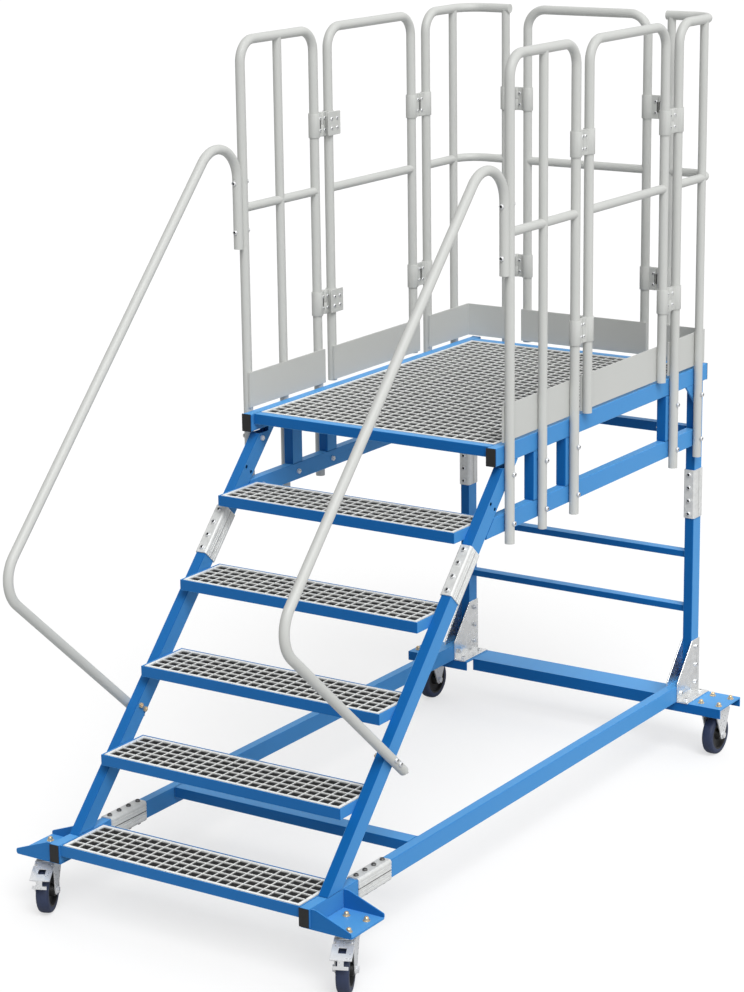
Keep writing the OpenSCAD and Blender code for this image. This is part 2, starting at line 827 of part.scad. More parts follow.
// Guard panels
module hoop_yz(x, y0, y1, bottom) {
    bend_z = top_tube_z - guard_bend_r;
    post(x, y0, bottom, bend_z, guard_tube_d);
    post(x, y1, bottom, bend_z, guard_tube_d);
    elbow_yz(x, [y0 + guard_bend_r, bend_z], guard_bend_r, 90, 90, guard_tube_d);
    elbow_yz(x, [y1 - guard_bend_r, bend_z], guard_bend_r, 0, 90, guard_tube_d);
    bar_yz(x, [y0 + guard_bend_r, top_tube_z], [y1 - guard_bend_r, top_tube_z], guard_tube_d);
}

module toe_board_yz(y0, y1) {
    translate([outer_x - toe_board_t, y0, platform_height + toe_board_gap])
        cube([toe_board_t + guard_wall, y1 - y0, toe_board_h]);
}

module front_guard() {
    difference() {
        union() {
            hoop_yz(guard_x, post_1_y, post_3_y, post_bottom_z);
            post(guard_x, post_2_y, post_bottom_z, top_tube_z, infill_tube_d);
            bar_yz(guard_x, [post_1_y, mid_rail_z], [post_3_y, mid_rail_z], infill_tube_d);
            toe_board_yz(post_1_y - guard_r, post_3_y + guard_r);
        }
        for (y = [post_1_y, post_2_y, post_3_y]) {
            end_bore(guard_x, y, post_bottom_z);
            hole_x(y, upper_bolt_z);
            hole_x(y, lower_rail_z);
        }
        handrail_bolt_holes();
    }
}

module left_front_guard() color(guard_grey) at_origin() mirror([1, 0, 0]) front_guard();
module right_front_guard() color(guard_grey) at_origin() front_guard();

corner_bend_x = guard_x - corner_bend_r;
corner_bend_y = rear_guard_y - corner_bend_r;

// Tube along the side that turns the corner and runs along the rear
module corner_rail(y0, z, d, end) {
    bar_yz(guard_x, [y0, z], [corner_bend_y, z], d);
    translate([corner_bend_x, corner_bend_y, z]) elbow(corner_bend_r, 90, d);
    translate([rear_post_x - end, rear_guard_y, z]) rotate([0, 90, 0])
        cylinder(h = corner_bend_x - rear_post_x + end, d = d);
}

module corner_toe_board() {
    rear_y = frame_end_y - toe_board_t;
    toe_board_yz(post_6_y - guard_r, frame_end_y);
    translate([rear_post_x - guard_r, rear_y, platform_height + toe_board_gap])
        cube([outer_x - rear_post_x + guard_r, toe_board_t + guard_wall, toe_board_h]);
}

module corner_guard() {
    bend_z = top_tube_z - guard_bend_r;
    difference() {
        union() {
            post(guard_x, post_6_y, post_bottom_z, bend_z, guard_tube_d);
            elbow_yz(guard_x, [post_6_y + guard_bend_r, bend_z], guard_bend_r, 90, 90, guard_tube_d);
            corner_rail(post_6_y + guard_bend_r, top_tube_z, guard_tube_d, guard_r + guard_wall);
            corner_rail(post_6_y, mid_rail_z, infill_tube_d, 0);
            post(guard_x, post_7_y, post_bottom_z, top_tube_z, infill_tube_d);
            post(rear_post_x, rear_guard_y, post_bottom_z, top_tube_z, infill_tube_d);
            corner_toe_board();
        }
        for (y = [post_6_y, post_7_y]) {
            end_bore(guard_x, y, post_bottom_z);
            hole_x(y, upper_bolt_z);
            hole_x(y, lower_rail_z);
        }
        end_bore(rear_post_x, rear_guard_y, post_bottom_z);
        rear_post_holes(rear_upper_bolt_z, tube_w);
        rear_post_holes(lower_cross_z, tube_w);
    }
}

module left_corner_guard() color(guard_grey) at_origin() mirror([1, 0, 0]) corner_guard();
module right_corner_guard() color(guard_grey) at_origin() corner_guard();

// Gates
module side_gate() {
    difference() {
        union() {
            hoop_yz(guard_x, gate_front_y, gate_rear_y, gate_bottom_z);
            bar_yz(guard_x, [gate_front_y, mid_rail_z], [gate_rear_y, mid_rail_z], infill_tube_d);
            toe_board_yz(gate_front_y - guard_r, gate_rear_y + guard_r);
        }
        for (y = [gate_front_y, gate_rear_y]) end_bore(guard_x, y, gate_bottom_z);
    }
}

module left_gate() color(guard_grey) at_origin() mirror([1, 0, 0]) side_gate();
module right_gate() color(guard_grey) at_origin() side_gate();

module rear_gate() color(guard_grey) at_origin() difference() {
    union() {
        translate([0, rear_guard_y, 0]) rotate([0, 0, 90]) {
            hoop_yz(0, -rear_gate_x, rear_gate_x, gate_bottom_z);
            bar_yz(0, [-rear_gate_x, mid_rail_z], [rear_gate_x, mid_rail_z], infill_tube_d);
        }
        translate([-rear_gate_x - guard_r, frame_end_y - toe_board_t, platform_height + toe_board_gap])
            cube([rear_gate_width + guard_tube_d, toe_board_t + guard_wall, toe_board_h]);
    }
    for (side = [-1, 1]) end_bore(side * rear_gate_x, rear_guard_y, gate_bottom_z);
}

// Clamps, drawn round a post at the origin with the neighbour post along +Y
module clamp_ring() {
    difference() {
        cylinder(h = clamp_h, d = clamp_d);
        translate([0, 0, -overrun]) cylinder(h = clamp_h + 2 * overrun, d = guard_tube_d);
    }
}

module clamp_tab(reach) {
    difference() {
        translate([-tab_t / 2, 0, 0]) cube([tab_t, reach, clamp_h]);
        translate([0, 0, -overrun]) cylinder(h = clamp_h + 2 * overrun, d = guard_tube_d);
    }
}

module fixed_hinge(gap) {
    pivot = gap / 2;
    half = clamp_h / 2;
    difference() {
        union() {
            clamp_ring();
            clamp_tab(pivot - knuckle_d / 2);
            translate([0, pivot, 0]) cylinder(h = half, d = knuckle_d);
            translate([-tab_t / 2, pivot - knuckle_d / 2, 0]) cube([tab_t, knuckle_d / 2, half]);
        }
        translate([0, 0, -overrun]) cylinder(h = clamp_h + 2 * overrun, d = guard_tube_d);
    }
    translate([0, pivot, half]) cylinder(h = half, d = hinge_pin_d);
}

module moving_hinge(gap) {
    pivot = gap / 2;
    half = clamp_h / 2;
    difference() {
        union() {
            clamp_ring();
            clamp_tab(pivot - knuckle_d / 2 - knuckle_gap);
            translate([0, pivot, half + knuckle_gap]) cylinder(h = half - knuckle_gap, d = knuckle_d);
            translate([-tab_t / 2, pivot - knuckle_d, half + knuckle_gap])
                cube([tab_t, knuckle_d, half - knuckle_gap]);
        }
        translate([0, pivot, 0]) cylinder(h = clamp_h + overrun, d = hinge_pin_d + 2 * running_gap);
        translate([0, 0, -overrun]) cylinder(h = clamp_h + 2 * overrun, d = guard_tube_d);
    }
}

module latch_half(gap) {
    clamp_ring();
    clamp_tab(gap / 2 - latch_tab_gap / 2);
}

clamp_z = [
    platform_height + lower_clamp_height - clamp_h / 2,
    platform_height + upper_clamp_height - clamp_h / 2
];

module at_clamps(x, y, turn) {
    for (z = clamp_z) translate([x, y, z]) rotate([0, 0, turn]) children();
}

module post_clamps() color(guard_grey) at_origin() {
    at_clamps(-guard_x, post_3_y, 0) fixed_hinge(hinge_gap);
    at_clamps(-guard_x, post_6_y, 180) latch_half(latch_gap);
    at_clamps(guard_x, post_3_y, 0) latch_half(hinge_gap);
    at_clamps(guard_x, post_6_y, 180) fixed_hinge(latch_gap);
    at_clamps(-rear_post_x, rear_guard_y, -90) fixed_hinge(rear_post_gap);
    at_clamps(rear_post_x, rear_guard_y, 90) latch_half(rear_post_gap);
}

module left_gate_clamps() color(guard_grey) at_origin() {
    at_clamps(-guard_x, gate_front_y, 180) moving_hinge(hinge_gap);
    at_clamps(-guard_x, gate_rear_y, 0) latch_half(latch_gap);
}

module right_gate_clamps() color(guard_grey) at_origin() {
    at_clamps(guard_x, gate_front_y, 180) latch_half(hinge_gap);
    at_clamps(guard_x, gate_rear_y, 0) moving_hinge(latch_gap);
}

module rear_gate_clamps() color(guard_grey) at_origin() {
    at_clamps(-rear_gate_x, rear_guard_y, 90) moving_hinge(rear_post_gap);
    at_clamps(rear_gate_x, rear_guard_y, -90) latch_half(rear_post_gap);
}

// Bolts of the guard posts, handrails, leg gussets and castors
module rear_post_bolts(z) {
    translate([rear_post_x, rear_guard_y + guard_r, z]) rotate([90, 0, 0]) bolt(tube_w + guard_tube_d);
}

module castor_bolts(x, y) {
    for (sx = [-1, 1], sy = [-1, 1])
        translate([x + sx * plate_bolt_x / 2, y + sy * plate_bolt_y / 2, castor_height - plate_t])
            bolt(plate_t + bracket_t);
}

module frame_bolts() color(zinc) at_origin() both_sides() {
    for (y = [post_1_y, post_2_y, post_3_y, post_6_y]) bolt_x(y, upper_bolt_z);
    for (y = [post_1_y, post_2_y, post_3_y, post_6_y]) bolt_x(y, lower_rail_z);
    bolt_x(post_7_y, upper_bolt_z, corner_gusset_t);
    bolt_x(post_7_y, lower_rail_z);
    rear_post_bolts(rear_upper_bolt_z);
    rear_post_bolts(lower_cross_z);
    for (share = handrail_bolt_shares)
        translate([guard_x, handrail_y - guard_r, handrail_bolt_z(share)]) rotate([-90, 0, 0])
            bolt(2 * guard_tube_d);
    for (side = [-1, 1]) {
        place = handrail_fix + side * handrail_foot_bolt_pitch / 2 * handrail_lower_dir;
        bolt_x(place[0], place[1]);
    }
    for (place = gusset_bolts)
        translate([outer_x + gusset_t, place[0], place[1]]) rotate([0, -90, 0])
            bolt(tube_w + 2 * gusset_t);
    for (x = gusset_flange_bolt_x, y = gusset_flange_bolt_y)
        translate([x, y, base_z + gusset_t]) rotate([180, 0, 0]) bolt(gusset_t + bracket_t);
    castor_bolts(front_castor_x, front_castor_y);
    castor_bolts(rear_castor_x, rear_castor_y);
}

// Castors
module castor_plate(x, y) {
    difference() {
        translate([x - plate_x / 2, y - plate_y / 2, castor_height - plate_t])
            cube([plate_x, plate_y, plate_t]);
        castor_holes(x, y);
    }
}

crown_z = castor_height - plate_t - race_h - crown_t;

module castor_plates() color(zinc) at_origin() both_sides() {
    castor_plate(front_castor_x, front_castor_y);
    translate([front_castor_x, front_castor_y, crown_z])
        cylinder(h = race_h + crown_t, d = king_pin_d);
}

// A front castor is drawn round its swivel axis, with the wheel towards -Y
module front_castor(side) {
    translate([side * front_castor_x, front_castor_y, 0]) rotate([0, 0, castor_heading]) children();
}

module at_wheel() {
    translate([0, -swivel_offset, wheel_r]) rotate([0, 90, 0]) children();
}

// Fork arm beside the wheel, tapering from the crown to the axle
module fork_arm() {
    crown_top = crown_z + crown_t;
    ear_y = pedal_pin_y - pedal_pin_d;
    translate([fork_gap / 2, 0, 0]) rotate([90, 0, 90]) linear_extrude(fork_t)
        difference() {
            union() {
                translate([-swivel_offset, wheel_r]) circle(d = fork_foot_w);
                polygon([
                    [-swivel_offset - fork_foot_w / 2, wheel_r], [fork_foot_w / 2 - swivel_offset, wheel_r],
                    [fork_arm_w, crown_top], [pedal_pin_y, crown_top],
                    [ear_y, pedal_pin_z + pedal_pin_d / 2], [ear_y, pedal_pin_z - pedal_pin_d]
                ]);
            }
            translate([-swivel_offset, wheel_r]) circle(d = axle_d);
            translate([pedal_pin_y, pedal_pin_z]) circle(d = pedal_pin_d);
        }
}

module axle(axle_y) {
    reach = fork_gap / 2 + fork_t;
    translate([0, axle_y, wheel_r]) rotate([0, 90, 0]) {
        translate([0, 0, -reach]) cylinder(h = 2 * reach, d = axle_d);
        for (end = [-reach - axle_head_h, reach])
            translate([0, 0, end]) cylinder(h = axle_head_h, d = axle_head_d, $fn = 6);
    }
}

module swivel_fork() {
    difference() {
        union() {
            translate([0, 0, crown_z]) cylinder(h = race_h + crown_t - race_gap, d = race_d);
            translate([-fork_gap / 2, -crown_reach, crown_z]) cube([fork_gap, 2 * crown_reach, crown_t]);
        }
        translate([0, 0, crown_z - overrun])
            cylinder(h = race_h + crown_t + 2 * overrun, d = king_pin_d + 2 * running_gap);
    }
    for (side = [0, 1]) mirror([side, 0, 0]) fork_arm();
    axle(-swivel_offset);
    translate([-fork_gap / 2 - fork_t, pedal_pin_y, pedal_pin_z]) rotate([0, 90, 0])
        cylinder(h = fork_gap + 2 * fork_t, d = pedal_pin_d);
}

module wheel_tyre() {
    half = wheel_w / 2;
    rotate_extrude()
        polygon([
            [rim_d / 2, -half], [wheel_r - tyre_shoulder, -half], [wheel_r, tyre_shoulder - half],
            [wheel_r, half - tyre_shoulder], [wheel_r - tyre_shoulder, half], [rim_d / 2, half]
        ]);
}

module wheel_hub() {
    half = wheel_w / 2;
    bore_r = axle_d / 2 + running_gap;
    rotate_extrude()
        polygon([
            [bore_r, -hub_length / 2], [hub_boss_d / 2, -hub_length / 2], [hub_boss_d / 2, -hub_web_t / 2],
            [rim_d / 2 - rim_t, -hub_web_t / 2], [rim_d / 2 - rim_t, -half], [rim_d / 2, -half],
            [rim_d / 2, half], [rim_d / 2 - rim_t, half], [rim_d / 2 - rim_t, hub_web_t / 2],
            [hub_boss_d / 2, hub_web_t / 2], [hub_boss_d / 2, hub_length / 2], [bore_r, hub_length / 2]
        ]);
}

// Brake pedal over the front of the wheel, turning on its pin
module pedal_sheet(neck) {
    window_y = -(pedal_length + pedal_window_l) / 2;
    linear_extrude(pedal_t)
        difference() {
            polygon([
                [neck / 2, 0], [-neck / 2, 0], [-neck / 2, -pedal_neck],
                [-pedal_width / 2, -pedal_neck], [-pedal_width / 2, -pedal_length],
                [pedal_width / 2, -pedal_length], [pedal_width / 2, -pedal_neck], [neck / 2, -pedal_neck]
            ]);
            translate([-pedal_window_w / 2, window_y]) square([pedal_window_w, pedal_window_l]);
        }
}

module pedal_tongue() {
    bar_y = tongue_bar_h - tongue_length;
    linear_extrude(pedal_t)
        polygon([
            [tongue_w / 2, pedal_t], [-tongue_w / 2, pedal_t], [-tongue_w / 2, bar_y],
            [-tongue_bar_w / 2, bar_y], [-tongue_bar_w / 2, -tongue_length],
            [tongue_bar_w / 2, -tongue_length], [tongue_bar_w / 2, bar_y], [tongue_w / 2, bar_y]
        ]);
}

module pedal() {
    barrel = fork_gap - 2 * pedal_side_gap;
    sheet_start = pedal_pin_d / 2 + pedal_side_gap;
    lip_y = -pedal_length * cos(pedal_slope) - sheet_start * sin(pedal_slope);
    lip_z = sheet_start * cos(pedal_slope) - pedal_length * sin(pedal_slope);
    translate([0, pedal_pin_y, pedal_pin_z])
        difference() {
            union() {
                rotate([0, 90, 0]) translate([0, 0, -barrel / 2]) cylinder(h = barrel, d = 2 * pedal_pin_d);
                rotate([pedal_slope, 0, 0]) translate([0, 0, sheet_start]) pedal_sheet(barrel - 2 * pedal_t);
                translate([0, lip_y, lip_z]) rotate([tongue_slope, 0, 0]) pedal_tongue();
            }
            rotate([0, 90, 0]) translate([0, 0, -fork_gap])
                cylinder(h = 2 * fork_gap, d = pedal_pin_d + 2 * running_gap);
        }
}

module left_front_fork() color(zinc) at_origin() front_castor(-1) swivel_fork();
module left_front_tyre() color(tyre_blue) at_origin() front_castor(-1) at_wheel() wheel_tyre();
module left_front_hub() color(black_plastic) at_origin() front_castor(-1) at_wheel() wheel_hub();
module left_front_pedal() color(zinc) at_origin() front_castor(-1) pedal();
module right_front_fork() color(zinc) at_origin() front_castor(1) swivel_fork();
module right_front_tyre() color(tyre_blue) at_origin() front_castor(1) at_wheel() wheel_tyre();
module right_front_hub() color(black_plastic) at_origin() front_castor(1) at_wheel() wheel_hub();
module right_front_pedal() color(zinc) at_origin() front_castor(1) pedal();

module rear_fork() {
    castor_plate(rear_castor_x, rear_castor_y);
    translate([rear_castor_x, rear_castor_y, 0]) {
        for (side = [0, 1]) mirror([side, 0, 0]) rear_fork_arm();
        axle(0);
    }
}

module rear_fork_arm() {
    top = castor_height - plate_t;
    translate([fork_gap / 2, 0, 0]) rotate([90, 0, 90]) linear_extrude(fork_t)
        difference() {
            union() {
                translate([0, wheel_r]) circle(d = fork_foot_w);
                polygon([
                    [-fork_foot_w / 2, wheel_r], [fork_foot_w / 2, wheel_r],
                    [rear_shoulder_w, top - rear_shoulder_drop], [rear_neck_w, top],
                    [-rear_neck_w, top], [-rear_shoulder_w, top - rear_shoulder_drop]
                ]);
            }
            translate([0, wheel_r]) circle(d = axle_d);
        }
}

module rear_castor_forks() color(zinc) at_origin() both_sides() rear_fork();

module rear_wheel(side) {
    translate([side * rear_castor_x, rear_castor_y, wheel_r]) rotate([0, 90, 0]) children();
}

module left_rear_tyre() color(tyre_blue) at_origin() rear_wheel(-1) wheel_tyre();
module left_rear_hub() color(black_plastic) at_origin() rear_wheel(-1) wheel_hub();
module right_rear_tyre() color(tyre_blue) at_origin() rear_wheel(1) wheel_tyre();
module right_rear_hub() color(black_plastic) at_origin() rear_wheel(1) wheel_hub();

base_stubs();
front_castor_brackets();
base_rails();
base_cross_tube();
rear_beam();
rear_castor_brackets();
legs();
leg_gussets();
leg_rungs();
base_couplings();
leg_couplings();
stair_couplings();
coupling_bolts();
upper_side_rails();
platform_cross_tubes();
lower_side_rails();
platform_struts();
lower_cross_tube();
leg_stubs();
stringer_stubs();
corner_gussets();
end_caps();
platform_grating();
stringers();
step_1();
step_2();
step_3();
step_4();
step_5();
step_gratings();
left_handrail();
right_handrail();
left_front_guard();
right_front_guard();
left_corner_guard();
right_corner_guard();
left_gate();
right_gate();
rear_gate();
post_clamps();
left_gate_clamps();
right_gate_clamps();
rear_gate_clamps();
frame_bolts();
castor_plates();
rear_castor_forks();
left_front_fork();
left_front_tyre();
left_front_hub();
left_front_pedal();
right_front_fork();
right_front_tyre();
right_front_hub();
right_front_pedal();
left_rear_tyre();
left_rear_hub();
right_rear_tyre();
right_rear_hub();
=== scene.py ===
import json
import math

import bpy
from mathutils import Matrix, Vector


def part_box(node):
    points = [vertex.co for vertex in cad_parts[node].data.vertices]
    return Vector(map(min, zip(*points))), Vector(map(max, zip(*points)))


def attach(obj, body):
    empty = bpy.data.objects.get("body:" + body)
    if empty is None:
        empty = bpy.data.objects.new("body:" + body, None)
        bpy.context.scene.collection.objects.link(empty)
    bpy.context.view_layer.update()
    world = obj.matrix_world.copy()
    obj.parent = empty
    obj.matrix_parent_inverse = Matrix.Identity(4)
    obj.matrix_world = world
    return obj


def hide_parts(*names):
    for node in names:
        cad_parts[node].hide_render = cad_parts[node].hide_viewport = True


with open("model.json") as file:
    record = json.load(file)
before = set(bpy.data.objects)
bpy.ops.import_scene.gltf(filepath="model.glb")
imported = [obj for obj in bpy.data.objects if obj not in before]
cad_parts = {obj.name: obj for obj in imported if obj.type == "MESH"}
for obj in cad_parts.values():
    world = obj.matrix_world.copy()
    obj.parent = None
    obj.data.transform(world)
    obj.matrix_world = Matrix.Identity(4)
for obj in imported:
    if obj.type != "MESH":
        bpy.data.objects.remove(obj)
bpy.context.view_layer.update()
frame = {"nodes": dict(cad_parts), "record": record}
nodes = frame["nodes"]

# Camera at the photograph's angle
view_turn = math.radians(33.38)
view_tilt = math.radians(14.88)
view_roll = math.radians(-0.76)
view_distance = 7.38386
view_target = Vector((0.1065, -0.25057, 1.0603))
view_back = Vector((math.sin(view_turn) * math.cos(view_tilt), -math.cos(view_turn) * math.cos(view_tilt),
                    math.sin(view_tilt)))
view_right = Vector((math.cos(view_turn), math.sin(view_turn), 0.0))
view_up = view_back.cross(view_right)
roll_right = view_right * math.cos(view_roll) + view_up * math.sin(view_roll)
roll_up = view_up * math.cos(view_roll) - view_right * math.sin(view_roll)
camera_data = bpy.data.cameras.new("camera")
sensor_width = 36.0
focal_pixels = 2745.1
photo_height = 992.0
camera_data.lens = focal_pixels * sensor_width / photo_height
camera_data.sensor_width = sensor_width
camera_data.clip_end = 200.0
camera = bpy.data.objects.new("camera", camera_data)
bpy.context.scene.collection.objects.link(camera)
place = view_target + view_back * view_distance
camera.matrix_world = Matrix(((roll_right.x, roll_up.x, view_back.x, place.x),
                              (roll_right.y, roll_up.y, view_back.y, place.y),
                              (roll_right.z, roll_up.z, view_back.z, place.z),
                              (0.0, 0.0, 0.0, 1.0)))
bpy.context.scene.camera = camera
bpy.context.scene.view_settings.view_transform = "Standard"


# Shared node groups
def new_group(name, inputs, outputs):
    group = bpy.data.node_groups.new(name, "ShaderNodeTree")
    for label, kind, value in inputs:
        socket = group.interface.new_socket(label, in_out="INPUT", socket_type=kind)
        socket.default_value = value
    for label, kind in outputs:
        group.interface.new_socket(label, in_out="OUTPUT", socket_type=kind)
    return group, group.nodes.new("NodeGroupInput"), group.nodes.new("NodeGroupOutput")


def combine(group, operation, *values):
    node = group.nodes.new("ShaderNodeMath")
    node.operation = operation
    for index, value in enumerate(values):
        if isinstance(value, float):
            node.inputs[index].default_value = value
        else:
            group.links.new(value, node.inputs[index])
    return node.outputs[0]


def scale_colour(group, colour, factor):
    node = group.nodes.new("ShaderNodeVectorMath")
    node.operation = "SCALE"
    group.links.new(colour, node.inputs[0])
    group.links.new(factor, node.inputs["Scale"])
    return node.outputs[0]


def grain_group():
    group, start, end = new_group("coat_grain", [
        ("Peel Scale", "NodeSocketFloat", 900.0), ("Tone Scale", "NodeSocketFloat", 6.0),
        ("Tone", "NodeSocketFloat", 0.06), ("Colour", "NodeSocketColor", (0.5, 0.5, 0.5, 1.0)),
        ("Roughness", "NodeSocketFloat", 0.4)],
        [("Colour", "NodeSocketColor"), ("Height", "NodeSocketFloat"), ("Roughness", "NodeSocketFloat")])
    links = group.links
    where = group.nodes.new("ShaderNodeTexCoord")
    peel = group.nodes.new("ShaderNodeTexNoise")
    peel.inputs["Detail"].default_value = 2.0
    tone = group.nodes.new("ShaderNodeTexNoise")
    tone.inputs["Detail"].default_value = 4.0
    links.new(where.outputs["Object"], peel.inputs["Vector"])
    links.new(where.outputs["Object"], tone.inputs["Vector"])
    links.new(start.outputs["Peel Scale"], peel.inputs["Scale"])
    links.new(start.outputs["Tone Scale"], tone.inputs["Scale"])
    centred = combine(group, "SUBTRACT", tone.outputs["Fac"], 0.5)
    scaled = combine(group, "MULTIPLY", centred, start.outputs["Tone"])
    lift = combine(group, "MULTIPLY_ADD", scaled, 2.0, 1.0)
    rough = combine(group, "ADD", start.outputs["Roughness"], scaled)
    links.new(scale_colour(group, start.outputs["Colour"], lift), end.inputs["Colour"])
    links.new(peel.outputs["Fac"], end.inputs["Height"])
    links.new(rough, end.inputs["Roughness"])
    return group


def spangle_group():
    group, start, end = new_group("zinc_spangle", [
        ("Crystal Scale", "NodeSocketFloat", 90.0), ("Contrast", "NodeSocketFloat", 0.12),
        ("Colour", "NodeSocketColor", (0.6, 0.6, 0.6, 1.0)), ("Roughness", "NodeSocketFloat", 0.4)],
        [("Colour", "NodeSocketColor"), ("Height", "NodeSocketFloat"), ("Roughness", "NodeSocketFloat")])
    links = group.links
    where = group.nodes.new("ShaderNodeTexCoord")
    crystal = group.nodes.new("ShaderNodeTexVoronoi")
    links.new(where.outputs["Object"], crystal.inputs["Vector"])
    links.new(start.outputs["Crystal Scale"], crystal.inputs["Scale"])
    grey = group.nodes.new("ShaderNodeRGBToBW")
    links.new(crystal.outputs["Color"], grey.inputs[0])
    cloud = group.nodes.new("ShaderNodeTexNoise")
    cloud.inputs["Scale"].default_value = 14.0
    cloud.inputs["Detail"].default_value = 5.0
    links.new(where.outputs["Object"], cloud.inputs["Vector"])
    both = combine(group, "ADD", grey.outputs[0], cloud.outputs["Fac"])
    centred = combine(group, "SUBTRACT", both, 1.0)
    scaled = combine(group, "MULTIPLY", centred, start.outputs["Contrast"])
    lift = combine(group, "ADD", scaled, 1.0)
    rough = combine(group, "ADD", start.outputs["Roughness"], scaled)
    links.new(scale_colour(group, start.outputs["Colour"], lift), end.inputs["Colour"])
    links.new(cloud.outputs["Fac"], end.inputs["Height"])
    links.new(rough, end.inputs["Roughness"])
    return group


coat_grain = grain_group()
zinc_spangle = spangle_group()


def finish_material(name, group, colour, roughness, metallic, bump, settings, coat=0.0, specular=0.5):
    material = bpy.data.materials.new(name)
    material.use_nodes = True
    tree = material.node_tree
    shader = tree.nodes["Principled BSDF"]
    shader.inputs["Metallic"].default_value = metallic
    shader.inputs["Coat Weight"].default_value = coat
    shader.inputs["Coat Roughness"].default_value = 0.25
    shader.inputs["Specular IOR Level"].default_value = specular
    effect = tree.nodes.new("ShaderNodeGroup")
    effect.node_tree = group
    effect.inputs["Colour"].default_value = (*colour, 1.0)
    effect.inputs["Roughness"].default_value = roughness
    for label, value in settings.items():
        effect.inputs[label].default_value = value
    height = tree.nodes.new("ShaderNodeBump")
    height.inputs["Strength"].default_value = bump
    height.inputs["Distance"].default_value = 0.0004
    tree.links.new(effect.outputs["Colour"], shader.inputs["Base Color"])
    tree.links.new(effect.outputs["Roughness"], shader.inputs["Roughness"])
    tree.links.new(effect.outputs["Height"], height.inputs["Height"])
    tree.links.new(height.outputs["Normal"], shader.inputs["Normal"])
    return material


blue_coat = finish_material("blue_powder_coat", coat_grain, (0.005, 0.118, 0.385), 0.40, 0.0, 0.10,
                            {"Peel Scale": 700.0, "Tone Scale": 5.0, "Tone": 0.06}, specular=0.12)
grey_coat = finish_material("light_grey_powder_coat", coat_grain, (0.575, 0.585, 0.565), 0.42, 0.0, 0.10,
                            {"Peel Scale": 700.0, "Tone Scale": 4.0, "Tone": 0.03}, specular=0.4)
galvanised = finish_material("galvanised_steel", zinc_spangle, (0.72, 0.73, 0.72), 0.48, 0.20, 0.08,
                             {"Crystal Scale": 120.0, "Contrast": 0.13})
zinc_plate = finish_material("bright_zinc_plate", zinc_spangle, (0.78, 0.79, 0.80), 0.30, 0.45, 0.05,
                             {"Crystal Scale": 260.0, "Contrast": 0.08})
dark_zinc = finish_material("dark_zinc_plate", zinc_spangle, (0.13, 0.13, 0.13), 0.35, 0.5, 0.05,
                            {"Crystal Scale": 300.0, "Contrast": 0.12})
gusset_zinc = finish_material("sheet_zinc", zinc_spangle, (0.88, 0.89, 0.89), 0.24, 0.92, 0.06,
                              {"Crystal Scale": 70.0, "Contrast": 0.16})
yellow_zinc = finish_material("yellow_zinc_plate", zinc_spangle, (0.78, 0.60, 0.38), 0.28, 0.65, 0.05,
                              {"Crystal Scale": 400.0, "Contrast": 0.15})
black_plastic = finish_material("black_plastic", coat_grain, (0.012, 0.012, 0.012), 0.5, 0.0, 0.2,
                                {"Peel Scale": 1400.0, "Tone Scale": 20.0, "Tone": 0.1})
# Flat black that stands in for shade: painted shade in screw sockets and recesses, coupling seams and tab
# slots
painted_shade_black = finish_material("painted_shade_black", coat_grain, (0.006, 0.006, 0.006), 0.55, 0.0, 0.1,
                              {"Peel Scale": 1600.0, "Tone Scale": 40.0, "Tone": 0.2})
tyre_rubber = finish_material("blue_grey_tyre", coat_grain, (0.022, 0.034, 0.080), 0.55, 0.0, 0.2,
                              {"Peel Scale": 500.0, "Tone Scale": 30.0, "Tone": 0.12})

# Grating bars are bright along the top and painted darker further down: painted shade inside the grating
# cells
grating_zinc = finish_material("grating_zinc", zinc_spangle, (0.95, 0.96, 0.94), 0.5, 0.10, 0.06,
                               {"Crystal Scale": 160.0, "Contrast": 0.10})


def blend_colour(material, share, start, end, colour):
    tree = material.node_tree
    shader = tree.nodes["Principled BSDF"]
    first_colour = shader.inputs["Base Color"].links[0].from_socket
    spread = tree.nodes.new("ShaderNodeMapRange")
    spread.inputs["From Min"].default_value = start
    spread.inputs["From Max"].default_value = end
    mixed = tree.nodes.new("ShaderNodeMix")
    mixed.data_type = "RGBA"
    mixed.inputs["B"].default_value = (*colour, 1.0)
    tree.links.new(share, spread.inputs["Value"])
    tree.links.new(spread.outputs["Result"], mixed.inputs["Factor"])
    tree.links.new(first_colour, mixed.inputs["A"])
    tree.links.new(mixed.outputs["Result"], shader.inputs["Base Color"])


# Painted shade: the bars turn near black a little below their tops, driven by the bar_depth attribute
bar_depth = grating_zinc.node_tree.nodes.new("ShaderNodeAttribute")
bar_depth.attribute_name = "bar_depth"
blend_colour(grating_zinc, bar_depth.outputs["Fac"], 0.02, 0.22, (0.055, 0.055, 0.055))

# The blue coat's colour is painted paler where the surface slants away from the view: a painted sheen that
# lightens top and side faces and keeps faces turned toward the view dark, in place of how the light falls
# on them
painted_sheen_facing = blue_coat.node_tree.nodes.new("ShaderNodeLayerWeight")
blend_colour(blue_coat, painted_sheen_facing.outputs["Facing"], 0.19, 0.70, (0.105, 0.380, 0.780))

slot_materials = {"frame_coat": blue_coat, "guard_coat": grey_coat, "galvanised_steel": galvanised,
                  "zinc_steel": zinc_plate, "black_plastic": black_plastic, "tyre_rubber": tyre_rubber}

for subpart in frame["record"]["subparts"]:
    solid = nodes[subpart["node"]]
    solid.data.materials.clear()
    solid.data.materials.append(slot_materials[subpart["material_slot"]])
nodes["leg_gussets"].data.materials[0] = gusset_zinc


# Rounded edges on the folded and drawn steel
def soften(names, width, segments=3, angle=40.0):
    for name in names:
        solid = nodes[name]
        weld = solid.modifiers.new("weld", "WELD")
        weld.merge_threshold = 0.00001
        flat = solid.modifiers.new("flat", "DECIMATE")
        flat.decimate_type = "DISSOLVE"
        flat.angle_limit = math.radians(1.0)
        edge = solid.modifiers.new("edge", "BEVEL")
        edge.width = width
        edge.segments = segments
        edge.limit_method = "ANGLE"
        edge.angle_limit = math.radians(angle)
        edge.use_clamp_overlap = False
        edge.harden_normals = True


